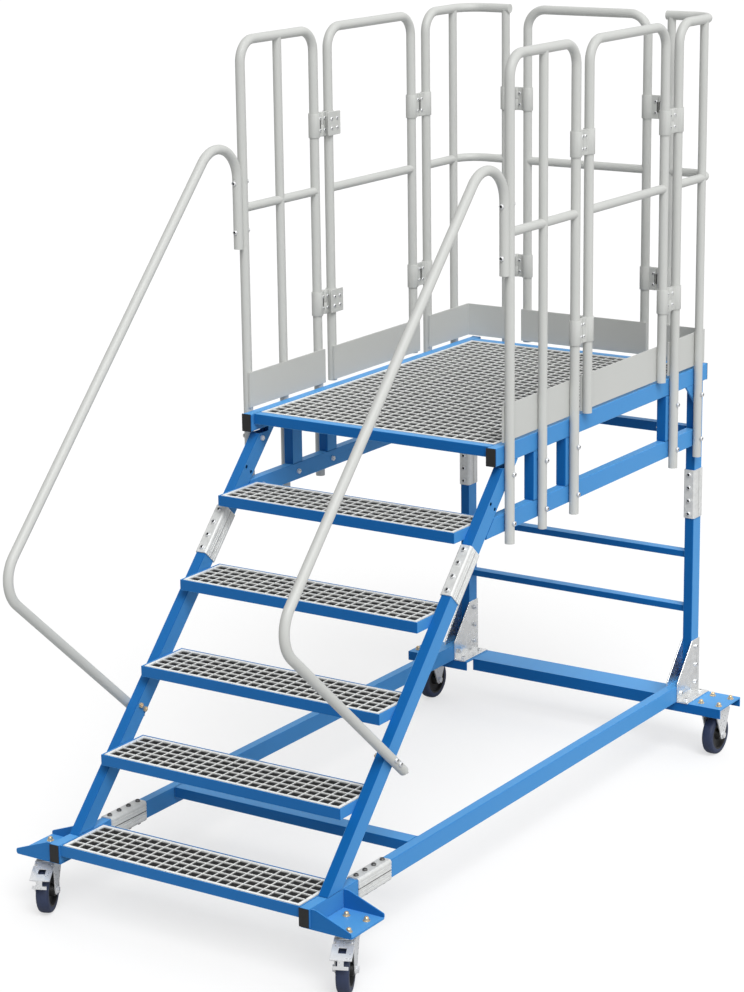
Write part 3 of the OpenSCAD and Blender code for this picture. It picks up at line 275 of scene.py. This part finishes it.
soften(["base_stubs", "base_rails", "base_cross_tube", "legs", "leg_stubs", "leg_rungs", "upper_side_rails",
        "platform_cross_tubes", "lower_side_rails", "platform_struts", "lower_cross_tube",
        "stringers"], 0.003)
soften(["stringer_stubs"], 0.0012, 2)
soften(["rear_beam", "rear_castor_brackets", "corner_gussets", "step_1", "step_2", "step_3", "step_4",
        "step_5", "leg_gussets"], 0.0015)
soften(["end_caps", "post_clamps", "left_gate_clamps", "right_gate_clamps", "rear_gate_clamps"], 0.0008, 2)
soften(["castor_plates", "rear_castor_forks", "left_front_fork", "right_front_fork", "left_front_pedal",
        "right_front_pedal"], 0.0007, 2)

# Sizes shared by several pieces, in metres
sides = (-1.0, 1.0)
step_count = 5
tube_width = 0.030
tube_height = 0.050
guard_radius = 0.0135
guard_diameter = 2.0 * guard_radius
panel_post_pitch = 0.177
corner_post_pitch = 0.158
upper_bolt_drop = 0.077
stringer_mid = 0.081
sheet = 0.005
gusset_sheet = 0.004
gusset_flange = 0.036
gusset_bolt_inset = 0.024
corner_gusset_sheet = 0.006
front_castor = (0.480, 0.070)
castor_heading = 24.0
castor_trail = 0.036
wheel_radius = 0.0625
clamp_height = 0.070

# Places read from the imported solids, with lengths along the part counted from the lowest step's nose
step_low, step_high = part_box("step_1")
next_step_low, next_step_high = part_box("step_2")
rail_low, rail_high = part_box("base_rails")
leg_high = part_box("legs")[1]
gusset_low, gusset_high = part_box("leg_gussets")
tray_low, tray_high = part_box("front_castor_brackets")
deck_low, deck_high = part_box("platform_grating")
lower_rail_low, lower_rail_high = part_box("lower_side_rails")
lower_cross_low, lower_cross_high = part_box("lower_cross_tube")
panel_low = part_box("right_front_guard")[0]
corner_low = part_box("right_corner_guard")[0]
gate_low, gate_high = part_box("right_gate")
rear_gate_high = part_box("rear_gate")[1]
clamp_low, clamp_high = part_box("post_clamps")
rear_tyre_low, rear_tyre_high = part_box("right_rear_tyre")
mid_length = -step_low[1]
step_going = next_step_low[1] - step_low[1]
step_rise = next_step_high[2] - step_high[2]
first_step_z = step_high[2]
deck_z = deck_high[2]
outer_x = rail_high[0]
inner_x = outer_x - tube_width
side_x = outer_x - tube_width / 2.0
base_z = rail_low[2]
rail_z = rail_high[2] - tube_height / 2.0
frame_end_y = leg_high[1] + mid_length
leg_y = frame_end_y - tube_height / 2.0
bolt_x = gate_high[0]
guard_x = bolt_x - guard_radius
front_post_y = panel_low[1] + mid_length + guard_radius
hinge_post_y = front_post_y + 2.0 * panel_post_pitch
gate_front_y = gate_low[1] + mid_length + guard_radius
gate_rear_y = gate_high[1] + mid_length - guard_radius
latch_post_y = corner_low[1] + mid_length + guard_radius
corner_post_y = latch_post_y + corner_post_pitch
rear_guard_y = frame_end_y + guard_radius
rear_gate_x = rear_gate_high[0] - guard_radius
rear_post_x = rear_gate_x + (gate_front_y - hinge_post_y + latch_post_y - gate_rear_y) / 2.0
rear_castor = ((rear_tyre_low[0] + rear_tyre_high[0]) / 2.0,
               (rear_tyre_low[1] + rear_tyre_high[1]) / 2.0 + mid_length)
clamp_heights = (clamp_low[2], clamp_high[2] - clamp_height)
upper_bolt_z = deck_z - upper_bolt_drop
lower_bolt_z = (lower_rail_low[2] + lower_rail_high[2]) / 2.0
rear_lower_bolt_z = (lower_cross_low[2] + lower_cross_high[2]) / 2.0


# Mesh-making helpers
def active(piece):
    bpy.ops.object.select_all(action="DESELECT")
    piece.select_set(True)
    bpy.context.view_layer.objects.active = piece


def settle(piece):
    active(piece)
    bpy.ops.object.transform_apply(location=True, rotation=True, scale=True)


def bar(name, size, place, edge=0.0):
    bpy.ops.object.select_all(action="DESELECT")
    bpy.ops.mesh.primitive_cube_add(size=1.0, location=place)
    piece = bpy.context.object
    piece.name = name
    piece.scale = size
    settle(piece)
    if edge > 0.0:
        bpy.ops.object.mode_set(mode="EDIT")
        bpy.ops.mesh.select_all(action="SELECT")
        bpy.ops.mesh.bevel(offset=edge, segments=1, affect="EDGES")
        bpy.ops.object.mode_set(mode="OBJECT")
    return piece


def repeat(piece, count, offset):
    active(piece)
    row = piece.modifiers.new("row", "ARRAY")
    row.count = count
    row.use_relative_offset = False
    row.use_constant_offset = True
    row.constant_offset_displace = offset
    bpy.ops.object.modifier_apply(modifier=row.name)


def fuse(pieces, name):
    bpy.ops.object.select_all(action="DESELECT")
    for piece in pieces:
        piece.select_set(True)
    bpy.context.view_layer.objects.active = pieces[0]
    bpy.ops.object.join()
    piece = bpy.context.object
    piece.name = name
    settle(piece)
    return piece


def dress(piece, material, body, replaced=None):
    piece.data.materials.clear()
    piece.data.materials.append(material)
    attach(piece, body)
    if replaced:
        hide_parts(*replaced)


def outline(name, points, depth):
    bpy.ops.object.select_all(action="DESELECT")
    bpy.ops.mesh.primitive_plane_add(size=0.001)
    piece = bpy.context.object
    piece.name = name
    bpy.ops.object.mode_set(mode="EDIT")
    bpy.ops.mesh.select_mode(type="VERT")
    bpy.ops.mesh.select_all(action="SELECT")
    bpy.ops.mesh.merge(type="CENTER")
    bpy.ops.transform.translate(value=(points[0][0], points[0][1], 0.0))
    for start, end in zip(points, points[1:]):
        run = (end[0] - start[0], end[1] - start[1], 0.0)
        bpy.ops.mesh.extrude_region_move(TRANSFORM_OT_translate={"value": run})
    bpy.ops.mesh.select_all(action="SELECT")
    bpy.ops.mesh.edge_face_add()
    bpy.ops.mesh.select_all(action="SELECT")
    bpy.ops.mesh.extrude_region_move(TRANSFORM_OT_translate={"value": (0.0, 0.0, depth)})
    bpy.ops.mesh.select_all(action="SELECT")
    bpy.ops.mesh.normals_make_consistent(inside=False)
    bpy.ops.object.mode_set(mode="OBJECT")
    return piece


def rounded(corners, steps=5):
    points = []
    for index, (x, y, radius) in enumerate(corners):
        corner = Vector((x, y))
        before = (Vector(corners[index - 1][:2]) - corner).normalized()
        after = (Vector(corners[(index + 1) % len(corners)][:2]) - corner).normalized()
        half = before.angle(after) / 2.0
        centre = corner + (before + after).normalized() * (radius / math.sin(half))
        start = corner + before * (radius / math.tan(half)) - centre
        end = corner + after * (radius / math.tan(half)) - centre
        sweep = start.angle_signed(end) if radius > 0.0 else 0.0
        for step in range(steps + 1 if radius > 0.0 else 1):
            point = centre + Matrix.Rotation(-sweep * step / steps, 2) @ start
            points.append((point.x, point.y))
    return points


def turned(name, profile, steps=32):
    bpy.ops.object.select_all(action="DESELECT")
    bpy.ops.mesh.primitive_plane_add(size=0.001)
    piece = bpy.context.object
    piece.name = name
    bpy.ops.object.mode_set(mode="EDIT")
    bpy.ops.mesh.select_mode(type="VERT")
    bpy.ops.mesh.select_all(action="SELECT")
    bpy.ops.mesh.merge(type="CENTER")
    bpy.ops.transform.translate(value=(profile[0][0], 0.0, profile[0][1]))
    for start, end in zip(profile, profile[1:]):
        run = (end[0] - start[0], 0.0, end[1] - start[1])
        bpy.ops.mesh.extrude_region_move(TRANSFORM_OT_translate={"value": run})
    bpy.ops.mesh.select_all(action="SELECT")
    bpy.ops.mesh.spin(steps=steps, angle=math.radians(360.0), center=(0.0, 0.0, 0.0), axis=(0.0, 0.0, 1.0))
    bpy.ops.mesh.select_all(action="SELECT")
    bpy.ops.mesh.remove_doubles(threshold=0.000005)
    bpy.ops.mesh.normals_make_consistent(inside=False)
    bpy.ops.object.mode_set(mode="OBJECT")
    bpy.ops.object.shade_smooth_by_angle(angle=math.radians(35.0))
    return piece


def round_edges(piece, width, segments=2, angle=40.0):
    active(piece)
    edge = piece.modifiers.new("edge", "BEVEL")
    edge.width = width
    edge.segments = segments
    edge.limit_method = "ANGLE"
    edge.angle_limit = math.radians(angle)
    edge.harden_normals = True
    bpy.ops.object.modifier_apply(modifier=edge.name)


def copies(piece, places, name):
    twins = []
    for place in places:
        twin = piece.copy()
        twin.data = piece.data.copy()
        bpy.context.scene.collection.objects.link(twin)
        twin.data.transform(place)
        twins.append(twin)
    bpy.data.objects.remove(piece)
    return fuse(twins, name)


def shift(x, y, z):
    return Matrix.Translation((x, y, z))


def turn(angle, axis):
    return Matrix.Rotation(math.radians(angle), 4, axis)


# Clamp couplings of two ribbed half shells, with cap screws and nuts
stair_angle = math.atan2(step_rise, step_going)
slope_pitch = math.hypot(step_rise, step_going)
coupling_half = 0.029
step_frame_height = 0.030
coupling_room = 0.022
stringer_under = stringer_mid + coupling_half
stringer_top = stringer_mid - coupling_half
free_start = stringer_under / math.tan(stair_angle)
free_end = slope_pitch + stringer_top / math.tan(stair_angle) - step_frame_height / math.sin(stair_angle)
coupling_length = free_end - free_start - coupling_room
stair_joint = 3.0 * slope_pitch + (free_start + free_end) / 2.0
base_joint_y = rail_low[1] + mid_length
leg_joint_z = leg_high[2]
coupling_places = []
for side in sides:
    coupling_places.append(shift(side * side_x, base_joint_y - mid_length, rail_z) @ turn(-90.0, "X"))
    coupling_places.append(shift(side * side_x, leg_y - mid_length, leg_joint_z))
    coupling_places.append(shift(0.0, -mid_length, first_step_z)
                           @ turn(math.degrees(stair_angle) - 90.0, "X")
                           @ shift(side * side_x, stringer_mid, stair_joint))

half_profile = [(0.0152, -0.0015), (0.0190, -0.0015), (0.0190, -0.0062), (0.0177, -0.0068),
                (0.0177, -0.0080), (0.0190, -0.0086), (0.0190, -0.0145), (0.0177, -0.0151),
                (0.0177, -0.0163), (0.0190, -0.0169), (0.0190, -0.0232), (0.0172, -0.0262),
                (0.0142, -0.0290)]
left_profile = [(-x, y) for x, y in reversed(half_profile)]
shell = outline("coupling_shell", half_profile + left_profile + [(-0.0152, -0.0252), (0.0152, -0.0252)],
                coupling_length)
shell.data.transform(shift(0.0, 0.0, -coupling_length / 2.0))
round_edges(shell, 0.0004, 2, 30.0)
flips = (Matrix.Identity(4), turn(180.0, "Z"))
shell_places = [place @ flip for place in coupling_places for flip in flips]
shells = copies(shell, shell_places, "coupling_shells")
dress(shells, galvanised, "frame",
      ["base_couplings", "leg_couplings", "stair_couplings"])
# A thin black strip in the seam between the shells: painted shade in the gap
seam = outline("coupling_seam", [(0.0151, -0.0014), (0.0172, -0.0014), (0.0176, -0.0008), (0.0176, 0.0008),
                                 (0.0172, 0.0014), (0.0151, 0.0014)], coupling_length - 0.002)
seam.data.transform(shift(0.0, 0.0, 0.001 - coupling_length / 2.0))
seams = copies(seam, shell_places, "coupling_seams")
dress(seams, painted_shade_black, "frame")


# Cap screws, nuts and domed nuts at the places of the bolts
def cap_screws(name, places, material, replaced):
    head = turned("head", [(0.0, 0.0020), (0.0042, 0.0020), (0.0042, 0.0056), (0.0050, 0.0053),
                           (0.0063, 0.0041), (0.0070, 0.0020), (0.0070, 0.0)], 24)
    heads = copies(head, places, name)
    dress(heads, material, "frame", replaced)
    # Black discs in the sockets: painted shade in the socket recesses
    socket = turned("socket", [(0.0, 0.0030), (0.0041, 0.0030), (0.0041, 0.0020)], 12)
    sockets = copies(socket, places, name + "_sockets")
    dress(sockets, painted_shade_black, "frame")


def hex_nuts(name, places, material):
    corner_radius = 0.0078
    corners = [math.radians(60.0 * corner) for corner in range(6)]
    hexagon = [(corner_radius * math.cos(angle), corner_radius * math.sin(angle)) for angle in corners]
    nut = outline("nut", hexagon, 0.0065)
    round_edges(nut, 0.0007)
    thread = turned("thread", [(0.0, 0.0095), (0.0030, 0.0095), (0.0040, 0.0085), (0.0034, 0.0080),
                               (0.0040, 0.0075), (0.0034, 0.0070), (0.0040, 0.0065), (0.0040, 0.0)], 16)
    nuts = copies(fuse([nut, thread], "nut"), places, name)
    dress(nuts, material, "frame")


bolt_pitch = 0.27 * coupling_length
coupling_bolts = [place @ shift(0.0, -coupling_half, share * bolt_pitch) @ turn(-90.0, "X")
                  for share in (-1.5, -0.5, 0.5, 1.5) for place in coupling_places]
coupling_heads = [place @ turn(180.0, "X") for place in coupling_bolts]
base_heads = coupling_heads[::3]
upper_heads = [place for place in coupling_heads if place not in base_heads]
cap_screws("base_coupling_screws", base_heads, dark_zinc, ["coupling_bolts"])
cap_screws("upper_coupling_screws", upper_heads, zinc_plate, None)
coupling_grip = 2.0 * coupling_half
hex_nuts("coupling_nuts", [place @ shift(0.0, 0.0, coupling_grip) for place in coupling_bolts], dark_zinc)

foot_angle = math.radians(42.0)
foot_along = 0.454
stair_run = Vector((math.cos(stair_angle), math.sin(stair_angle)))
stair_down = Vector((math.sin(stair_angle), -math.cos(stair_angle)))
foot_centre = Vector((0.0, first_step_z)) + foot_along * stair_run
foot_centre = foot_centre + stringer_mid * stair_down
foot_run = Vector((math.cos(foot_angle), -math.sin(foot_angle)))
foot_bolt_half = 0.012
grating_height = 0.025
bolt_head = 0.014
tube_grip = tube_width + guard_diameter
plate_grip = corner_gusset_sheet + guard_diameter
handrail_grip = 2.0 * guard_diameter
gusset_grip = tube_width + 2.0 * gusset_sheet
flange_grip = gusset_sheet + sheet
post_ys = (front_post_y, front_post_y + panel_post_pitch, hinge_post_y, latch_post_y, corner_post_y)
plate_bolt = (corner_post_y, upper_bolt_z)
rear_upper_bolt_z = deck_z - grating_height - bolt_head
rear_bolt_y = rear_guard_y + guard_radius
handrail_bolt_y = front_post_y - guard_diameter - guard_radius
handrail_end_height = 0.464
handrail_end_z = deck_z + handrail_end_height
handrail_span = 0.190
gusset_bolt_x = outer_x + gusset_sheet
gusset_bolt_y = gusset_low[1] + mid_length + gusset_bolt_inset
gusset_height = gusset_high[2] - gusset_low[2]
gusset_spots = [(leg_y, base_z + share * gusset_height) for share in (0.20, 0.52, 0.86)]
gusset_spots.append((gusset_bolt_y, rail_z))
flange_xs = (inner_x - gusset_sheet - gusset_flange / 2.0, outer_x + gusset_sheet + gusset_flange / 2.0)
flange_ys = (gusset_bolt_y, frame_end_y - gusset_bolt_inset)
flange_z = base_z + gusset_sheet
castor_bolt_half = (0.030, 0.040)
guard_bolts = []
gusset_bolts = []
foot_bolts = []
castor_nuts = []
for side in sides:
    across = turn(-90.0 * side, "Y")
    for y in post_ys:
        for z in (upper_bolt_z, lower_bolt_z):
            grip = plate_grip if (y, z) == plate_bolt else tube_grip
            guard_bolts.append((shift(side * bolt_x, y - mid_length, z) @ across, grip))
    for z in (rear_upper_bolt_z, rear_lower_bolt_z):
        rear_bolt = shift(side * rear_post_x, rear_bolt_y - mid_length, z) @ turn(90.0, "X")
        guard_bolts.append((rear_bolt, tube_grip))
    for share in (0.25, 0.97):
        z = handrail_end_z + share * handrail_span
        handrail_bolt = shift(side * guard_x, handrail_bolt_y - mid_length, z) @ turn(-90.0, "X")
        guard_bolts.append((handrail_bolt, handrail_grip))
    for along in (-foot_bolt_half, foot_bolt_half):
        spot = foot_centre + foot_run * along
        foot_bolts.append((shift(side * bolt_x, spot.x - mid_length, spot.y) @ across, tube_grip))
    for y, z in gusset_spots:
        gusset_bolts.append((shift(side * gusset_bolt_x, y - mid_length, z) @ across, gusset_grip))
    for x in flange_xs:
        for y in flange_ys:
            flange_bolt = shift(side * x, y - mid_length, flange_z) @ turn(180.0, "X")
            gusset_bolts.append((flange_bolt, flange_grip))
    for centre_x, centre_y in (front_castor, rear_castor):
        for across_plate in sides:
            for along_plate in sides:
                x = side * centre_x + across_plate * castor_bolt_half[0]
                y = centre_y + along_plate * castor_bolt_half[1]
                castor_nuts.append(shift(x, y - mid_length, base_z))
frame_bolts = guard_bolts + gusset_bolts + foot_bolts
cap_screws("frame_screws", [place @ turn(180.0, "X") for place, grip in frame_bolts], zinc_plate,
           ["frame_bolts"])
hex_nuts("frame_nuts", [place @ shift(0.0, 0.0, grip) for place, grip in guard_bolts + gusset_bolts],
         zinc_plate)
hex_nuts("foot_nuts", [place @ shift(0.0, 0.0, grip) for place, grip in foot_bolts], yellow_zinc)
dome = turned("dome_nut", [(0.0, 0.0125), (0.0025, 0.0121), (0.0046, 0.0110), (0.0060, 0.0092),
                           (0.0067, 0.0070), (0.0068, 0.0022), (0.0096, 0.0016), (0.0098, 0.0)], 24)
domes = copies(dome, castor_nuts, "castor_nuts")
dress(domes, yellow_zinc, "frame")

# Folded trays with rounded cheeks that carry the front castors
tray_corner = 0.007
tray_end_y = tray_high[1] + mid_length
cheek_inset = 0.0012
cheek_outer_x = tray_high[0] - cheek_inset
cheek_foot_z = 0.1665
cheek_tip_z = 0.1778
cheek_tip_radius = 0.0055
cheek_top_x = 0.4300
cheek_top_z = 0.2178
cheek_top_radius = 0.012
cheek_ys = (0.0052, 0.1538)
trays = []
for side in sides:
    tray = outline("tray", rounded([(side * inner_x, 0.0, 0.0), (side * tray_high[0], 0.0, tray_corner),
                                    (side * tray_high[0], tray_end_y, tray_corner),
                                    (side * inner_x, tray_end_y, 0.0)]), sheet)
    tray.data.transform(shift(0.0, -mid_length, tray_low[2]))
    trays.append(tray)
    for y in cheek_ys:
        cheek = outline("cheek", rounded([(side * outer_x, cheek_foot_z, 0.0),
                                          (side * cheek_outer_x, cheek_foot_z, 0.0),
                                          (side * cheek_outer_x, cheek_tip_z, cheek_tip_radius),
                                          (side * cheek_top_x, cheek_top_z, cheek_top_radius),
                                          (side * outer_x, cheek_top_z, 0.0)]), sheet)
        cheek.data.transform(shift(0.0, y - mid_length, 0.0) @ turn(90.0, "X"))
        trays.append(cheek)
for tray in trays:
    round_edges(tray, 0.0016, 3)
trays = fuse(trays, "front_castor_trays")
dress(trays, blue_coat, "frame", ["front_castor_brackets"])

# Rounded plugs in the lower ends of the handrails
plug = turned("plug", [(0.0, 0.0040), (0.0070, 0.0036), (0.0105, 0.0026), (0.0126, 0.0010),
                       (0.0134, -0.0012)], 32)
foot_reach = 0.061
foot_end = foot_centre + foot_run * foot_reach
plugs = copies(plug, [shift(side * guard_x, foot_end.x - mid_length, foot_end.y) @ turn(132.0, "X")
                      for side in sides], "handrail_plugs")
dress(plugs, grey_coat, "frame")

# Screws on the tabs of the gate clamps, with black discs in their recesses and thin black strips as slots
# at some tabs, both painted shade
clamp_tabs = {"frame": [(-guard_x, hinge_post_y, 0.0, 0.0285, True),
                        (-guard_x, latch_post_y, 180.0, 0.0405, True),
                        (guard_x, hinge_post_y, 0.0, 0.0355, False),
                        (guard_x, latch_post_y, 180.0, 0.0335, False),
                        (-rear_post_x, rear_guard_y, -90.0, 0.0310, False),
                        (rear_post_x, rear_guard_y, 90.0, 0.0380, True)],
              "left_gate_leaf": [(-guard_x, gate_front_y, 180.0, 0.0282, False),
                                 (-guard_x, gate_rear_y, 0.0, 0.0405, True)],
              "right_gate_leaf": [(guard_x, gate_front_y, 180.0, 0.0355, False),
                                  (guard_x, gate_rear_y, 0.0, 0.0332, False)],
              "rear_gate_leaf": [(-rear_gate_x, rear_guard_y, 90.0, 0.0307, False),
                                 (rear_gate_x, rear_guard_y, -90.0, 0.0380, True)]}
tab_half = 0.004
tab_start = 0.0110
tab_screw_zs = (0.018, 0.052)
slot_inset = 0.0020
slot_middle_z = clamp_height / 2.0
for body, tabs in clamp_tabs.items():
    tab_places = [(shift(x, y - mid_length, z) @ turn(angle, "Z"), reach, slotted)
                  for x, y, angle, reach, slotted in tabs for z in clamp_heights]
    screw_places = [place @ shift(0.0, tab_start + reach / 2.0, z) @ turn(face, "Z")
                    @ shift(tab_half, 0.0, 0.0) @ turn(90.0, "Y") for place, reach, slotted in tab_places
                    for z in tab_screw_zs for face in (0.0, 180.0)]
    tab_screw = turned("tab_screw", [(0.0, 0.0008), (0.0024, 0.0008), (0.0024, 0.0026), (0.0034, 0.0023),
                                     (0.0046, 0.0012), (0.0049, 0.0)], 16)
    tab_screws = copies(tab_screw, screw_places, body + "_tab_screws")
    dress(tab_screws, zinc_plate, body)
    # Black discs in the screw recesses: painted shade
    recess = turned("recess", [(0.0, 0.0020), (0.0025, 0.0020), (0.0025, 0.0008)], 8)
    recesses = copies(recess, screw_places, body + "_tab_recesses")
    dress(recesses, painted_shade_black, body)
    # Thin black strips at the slotted tabs: painted shadow in the gap at the tab's end
    slot_places = [place @ shift(0.0, reach - slot_inset, slot_middle_z) @ turn(face, "Z")
                   @ shift(tab_half, 0.0, 0.0) @ turn(90.0, "Z") @ turn(90.0, "X")
                   for place, reach, slotted in tab_places if slotted for face in (0.0, 180.0)]
    if slot_places:
        slot = outline("slot", rounded([(-0.0016, -0.016, 0.0014), (0.0016, -0.016, 0.0014),
                                        (0.0016, 0.016, 0.0014), (-0.0016, 0.016, 0.0014)], 3), 0.0003)
        slots = copies(slot, slot_places, body + "_tab_slots")
        dress(slots, painted_shade_black, body)

# Hinge plates screwed to the inner face of the left gate
plate_start = 1.354
plate_end = 1.416
plate_height = 0.068
plate_corner = 0.004
plate_sheet = 0.003
plate_x = -0.4122
plate = outline("hinge_plate", rounded([(plate_start, 0.0, plate_corner), (plate_end, 0.0, plate_corner),
                                        (plate_end, plate_height, plate_corner),
                                        (plate_start, plate_height, plate_corner)]), plate_sheet)
round_edges(plate, 0.0006)
plate_places = [shift(plate_x, -mid_length, z) @ turn(90.0, "Z") @ turn(90.0, "X") for z in (1.411, 1.930)]
plates = copies(plate, plate_places, "left_hinge_plates")
dress(plates, grey_coat, "left_gate_leaf")
plate_screw = turned("plate_screw", [(0.0, 0.0008), (0.0026, 0.0008), (0.0026, 0.0028), (0.0038, 0.0024),
                                     (0.0050, 0.0012), (0.0053, 0.0)], 16)
plate_screw_places = [shift(plate_x + plate_sheet, y - mid_length, z) @ turn(90.0, "Y")
                      for y in (1.3715, 1.3985) for z in (1.4315, 1.4585, 1.9505, 1.9775)]
plate_screws = copies(plate_screw, plate_screw_places, "left_hinge_screws")
dress(plate_screws, zinc_plate, "left_gate_leaf")
# Black discs in the screw recesses: painted shade
plate_recess = turned("plate_recess", [(0.0, 0.0020), (0.0027, 0.0020), (0.0027, 0.0008)], 8)
plate_recesses = copies(plate_recess, plate_screw_places, "left_hinge_recesses")
dress(plate_recesses, painted_shade_black, "left_gate_leaf")


# Bar gratings with a flat border
def grating(name, width, depth, rows, columns):
    border = 0.009
    deep = 0.025
    thin = 0.003
    bpy.ops.object.select_all(action="DESELECT")
    bpy.ops.mesh.primitive_plane_add(size=1.0)
    ring = bpy.context.object
    ring.scale = (width, depth, 1.0)
    settle(ring)
    bpy.ops.object.mode_set(mode="EDIT")
    bpy.ops.mesh.select_all(action="SELECT")
    bpy.ops.mesh.inset(thickness=border, depth=0.0)
    bpy.ops.mesh.delete(type="FACE")
    bpy.ops.mesh.select_all(action="SELECT")
    bpy.ops.mesh.extrude_region_move(TRANSFORM_OT_translate={"value": (0.0, 0.0, -deep)})
    bpy.ops.mesh.select_all(action="SELECT")
    bpy.ops.mesh.normals_make_consistent(inside=False)
    bpy.ops.object.mode_set(mode="OBJECT")
    row_pitch = (depth - border * 2.0) / rows
    column_pitch = (width - border * 2.0) / columns
    bearing = bar("bearing", (width - border, thin, deep),
                  (0.0, border + row_pitch - depth / 2.0, -deep / 2.0), 0.0005)
    repeat(bearing, rows - 1, (0.0, row_pitch, 0.0))
    cross_drop = 0.002
    cross = bar("cross", (thin, depth - border, deep - cross_drop),
                (border + column_pitch - width / 2.0, 0.0, -deep / 2.0), 0.0005)
    repeat(cross, columns - 1, (column_pitch, 0.0, 0.0))
    mesh_piece = fuse([ring, bearing, cross], name)
    # Depth down each bar, from 0 at the top to 1 at the bottom, read by the painted shade of grating_zinc
    depths = mesh_piece.data.attributes.new("bar_depth", "FLOAT", "POINT")
    depths.data.foreach_set("value", [-vertex.co.z / deep for vertex in mesh_piece.data.vertices])
    return mesh_piece


grating_gap = 0.003
step_rim = 0.007
step_depth = step_high[1] - step_low[1]
step_middle = step_depth / 2.0
step_mesh = grating("step_mesh", 2.0 * (step_high[0] - step_rim), step_depth - 2.0 * step_rim, 5, 23)
step_places = [shift(0.0, index * step_going + step_middle - mid_length, first_step_z + index * step_rise)
               for index in range(step_count)]
step_meshes = copies(step_mesh, step_places, "step_grating_mesh")
dress(step_meshes, grating_zinc, "frame", ["step_gratings"])
deck_length = deck_high[1] - deck_low[1] - 2.0 * grating_gap
deck_mesh = grating("deck_mesh", 2.0 * (deck_high[0] - grating_gap), deck_length, 35, 23)
deck_mesh.data.transform(shift(0.0, (deck_low[1] + deck_high[1]) / 2.0, deck_z))
dress(deck_mesh, grating_zinc, "frame", ["platform_grating"])

# Wheels with a rounded tyre on a dished hub
tyre_half = [(0.0460, -0.0165), (0.0480, -0.0170), (0.0540, -0.0170), (0.0570, -0.0166), (0.0595, -0.0150),
             (0.0613, -0.0122), (0.0622, -0.0080)]
hub_half = [(0.0460, -0.0165), (0.0440, -0.0172), (0.0415, -0.0165), (0.0405, -0.0120), (0.0390, -0.0070),
            (0.0340, -0.0060), (0.0250, -0.0062), (0.0185, -0.0075), (0.0172, -0.0120), (0.0165, -0.0215),
            (0.0150, -0.0225), (0.0062, -0.0225)]
tyre_profile = tyre_half + [(wheel_radius, 0.0)]
tyre_profile = tyre_profile + [(radius, -along) for radius, along in reversed(tyre_half)]
hub_profile = hub_half + [(radius, -along) for radius, along in reversed(hub_half)]
wheel_places = {}
for label, side in (("left", -1.0), ("right", 1.0)):
    wheel_places[label + "_front"] = (shift(side * front_castor[0], front_castor[1] - mid_length, 0.0)
                                      @ turn(castor_heading, "Z")
                                      @ shift(0.0, -castor_trail, wheel_radius) @ turn(90.0, "Y"))
    wheel_places[label + "_rear"] = (shift(side * rear_castor[0], rear_castor[1] - mid_length, wheel_radius)
                                     @ turn(90.0, "Y"))
for label, place in wheel_places.items():
    tyre = turned(label + "_tyre_form", tyre_profile, 96)
    tyre.data.transform(place)
    dress(tyre, tyre_rubber, label + "_wheel", [label + "_tyre"])
    hub = turned(label + "_hub_form", hub_profile, 64)
    hub.data.transform(place)
    dress(hub, black_plastic, label + "_wheel", [label + "_hub"])


# Floor and sky that look white to the camera and light the part more softly
def seen_colour(tree, hidden, shown):
    path = tree.nodes.new("ShaderNodeLightPath")
    choice = tree.nodes.new("ShaderNodeMix")
    choice.data_type = "RGBA"
    choice.inputs["A"].default_value = (hidden, hidden, hidden, 1.0)
    choice.inputs["B"].default_value = (shown, shown, shown, 1.0)
    tree.links.new(path.outputs["Is Camera Ray"], choice.inputs["Factor"])
    return choice


bpy.ops.object.select_all(action="DESELECT")
bpy.ops.mesh.primitive_plane_add(size=120.0, location=(0.0, 0.0, 0.0))
floor = bpy.context.object
floor.name = "floor"
floor_paint = bpy.data.materials.new("floor_paint")
floor_paint.use_nodes = True
floor_tree = floor_paint.node_tree
floor_shader = floor_tree.nodes["Principled BSDF"]
floor_shader.inputs["Roughness"].default_value = 0.95
floor_shader.inputs["Specular IOR Level"].default_value = 0.0
floor_shader.inputs["Emission Strength"].default_value = 1.0
floor_tone = seen_colour(floor_tree, 0.55, 0.40)
floor_glow = seen_colour(floor_tree, 0.0, 0.60)
floor_tree.links.new(floor_tone.outputs["Result"], floor_shader.inputs["Base Color"])
floor_tree.links.new(floor_glow.outputs["Result"], floor_shader.inputs["Emission Color"])
floor.data.materials.append(floor_paint)

world = bpy.data.worlds.new("studio")
bpy.context.scene.world = world
world.use_nodes = True
sky = world.node_tree
sky_way = sky.nodes.new("ShaderNodeTexCoord")


def sky_share(direction, start, end, low, high):
    side = sky.nodes.new("ShaderNodeVectorMath")
    side.operation = "DOT_PRODUCT"
    side.inputs[1].default_value = direction
    spread = sky.nodes.new("ShaderNodeMapRange")
    spread.interpolation_type = "SMOOTHSTEP"
    spread.inputs["From Min"].default_value = start
    spread.inputs["From Max"].default_value = end
    spread.inputs["To Min"].default_value = low
    spread.inputs["To Max"].default_value = high
    sky.links.new(sky_way.outputs["Generated"], side.inputs[0])
    sky.links.new(side.outputs["Value"], spread.inputs["Value"])
    return spread.outputs["Result"]


sky_glow = sky_share((0.45, 0.70, 0.55), -0.8, 0.8, 0.48, 0.80)
sky_flag = sky_share((-0.52, -0.75, 0.41), 0.72, 0.90, 1.0, 0.06)
sky_white = seen_colour(sky, 0.0, 1.0)
sky.links.new(combine(sky, "MULTIPLY", sky_glow, sky_flag), sky_white.inputs["A"])
sky.links.new(sky_white.outputs["Result"], sky.nodes["Background"].inputs["Color"])
sky.nodes["Background"].inputs["Strength"].default_value = 1.0

# One broad sun from the front right
key = bpy.data.lights.new("key", "SUN")
key.energy = 2.1
key.angle = math.radians(35.0)
key_holder = bpy.data.objects.new("key", key)
bpy.context.scene.collection.objects.link(key_holder)
key_holder.rotation_euler = Vector((-0.65, 0.60, -0.95)).to_track_quat("-Z", "Y").to_euler()
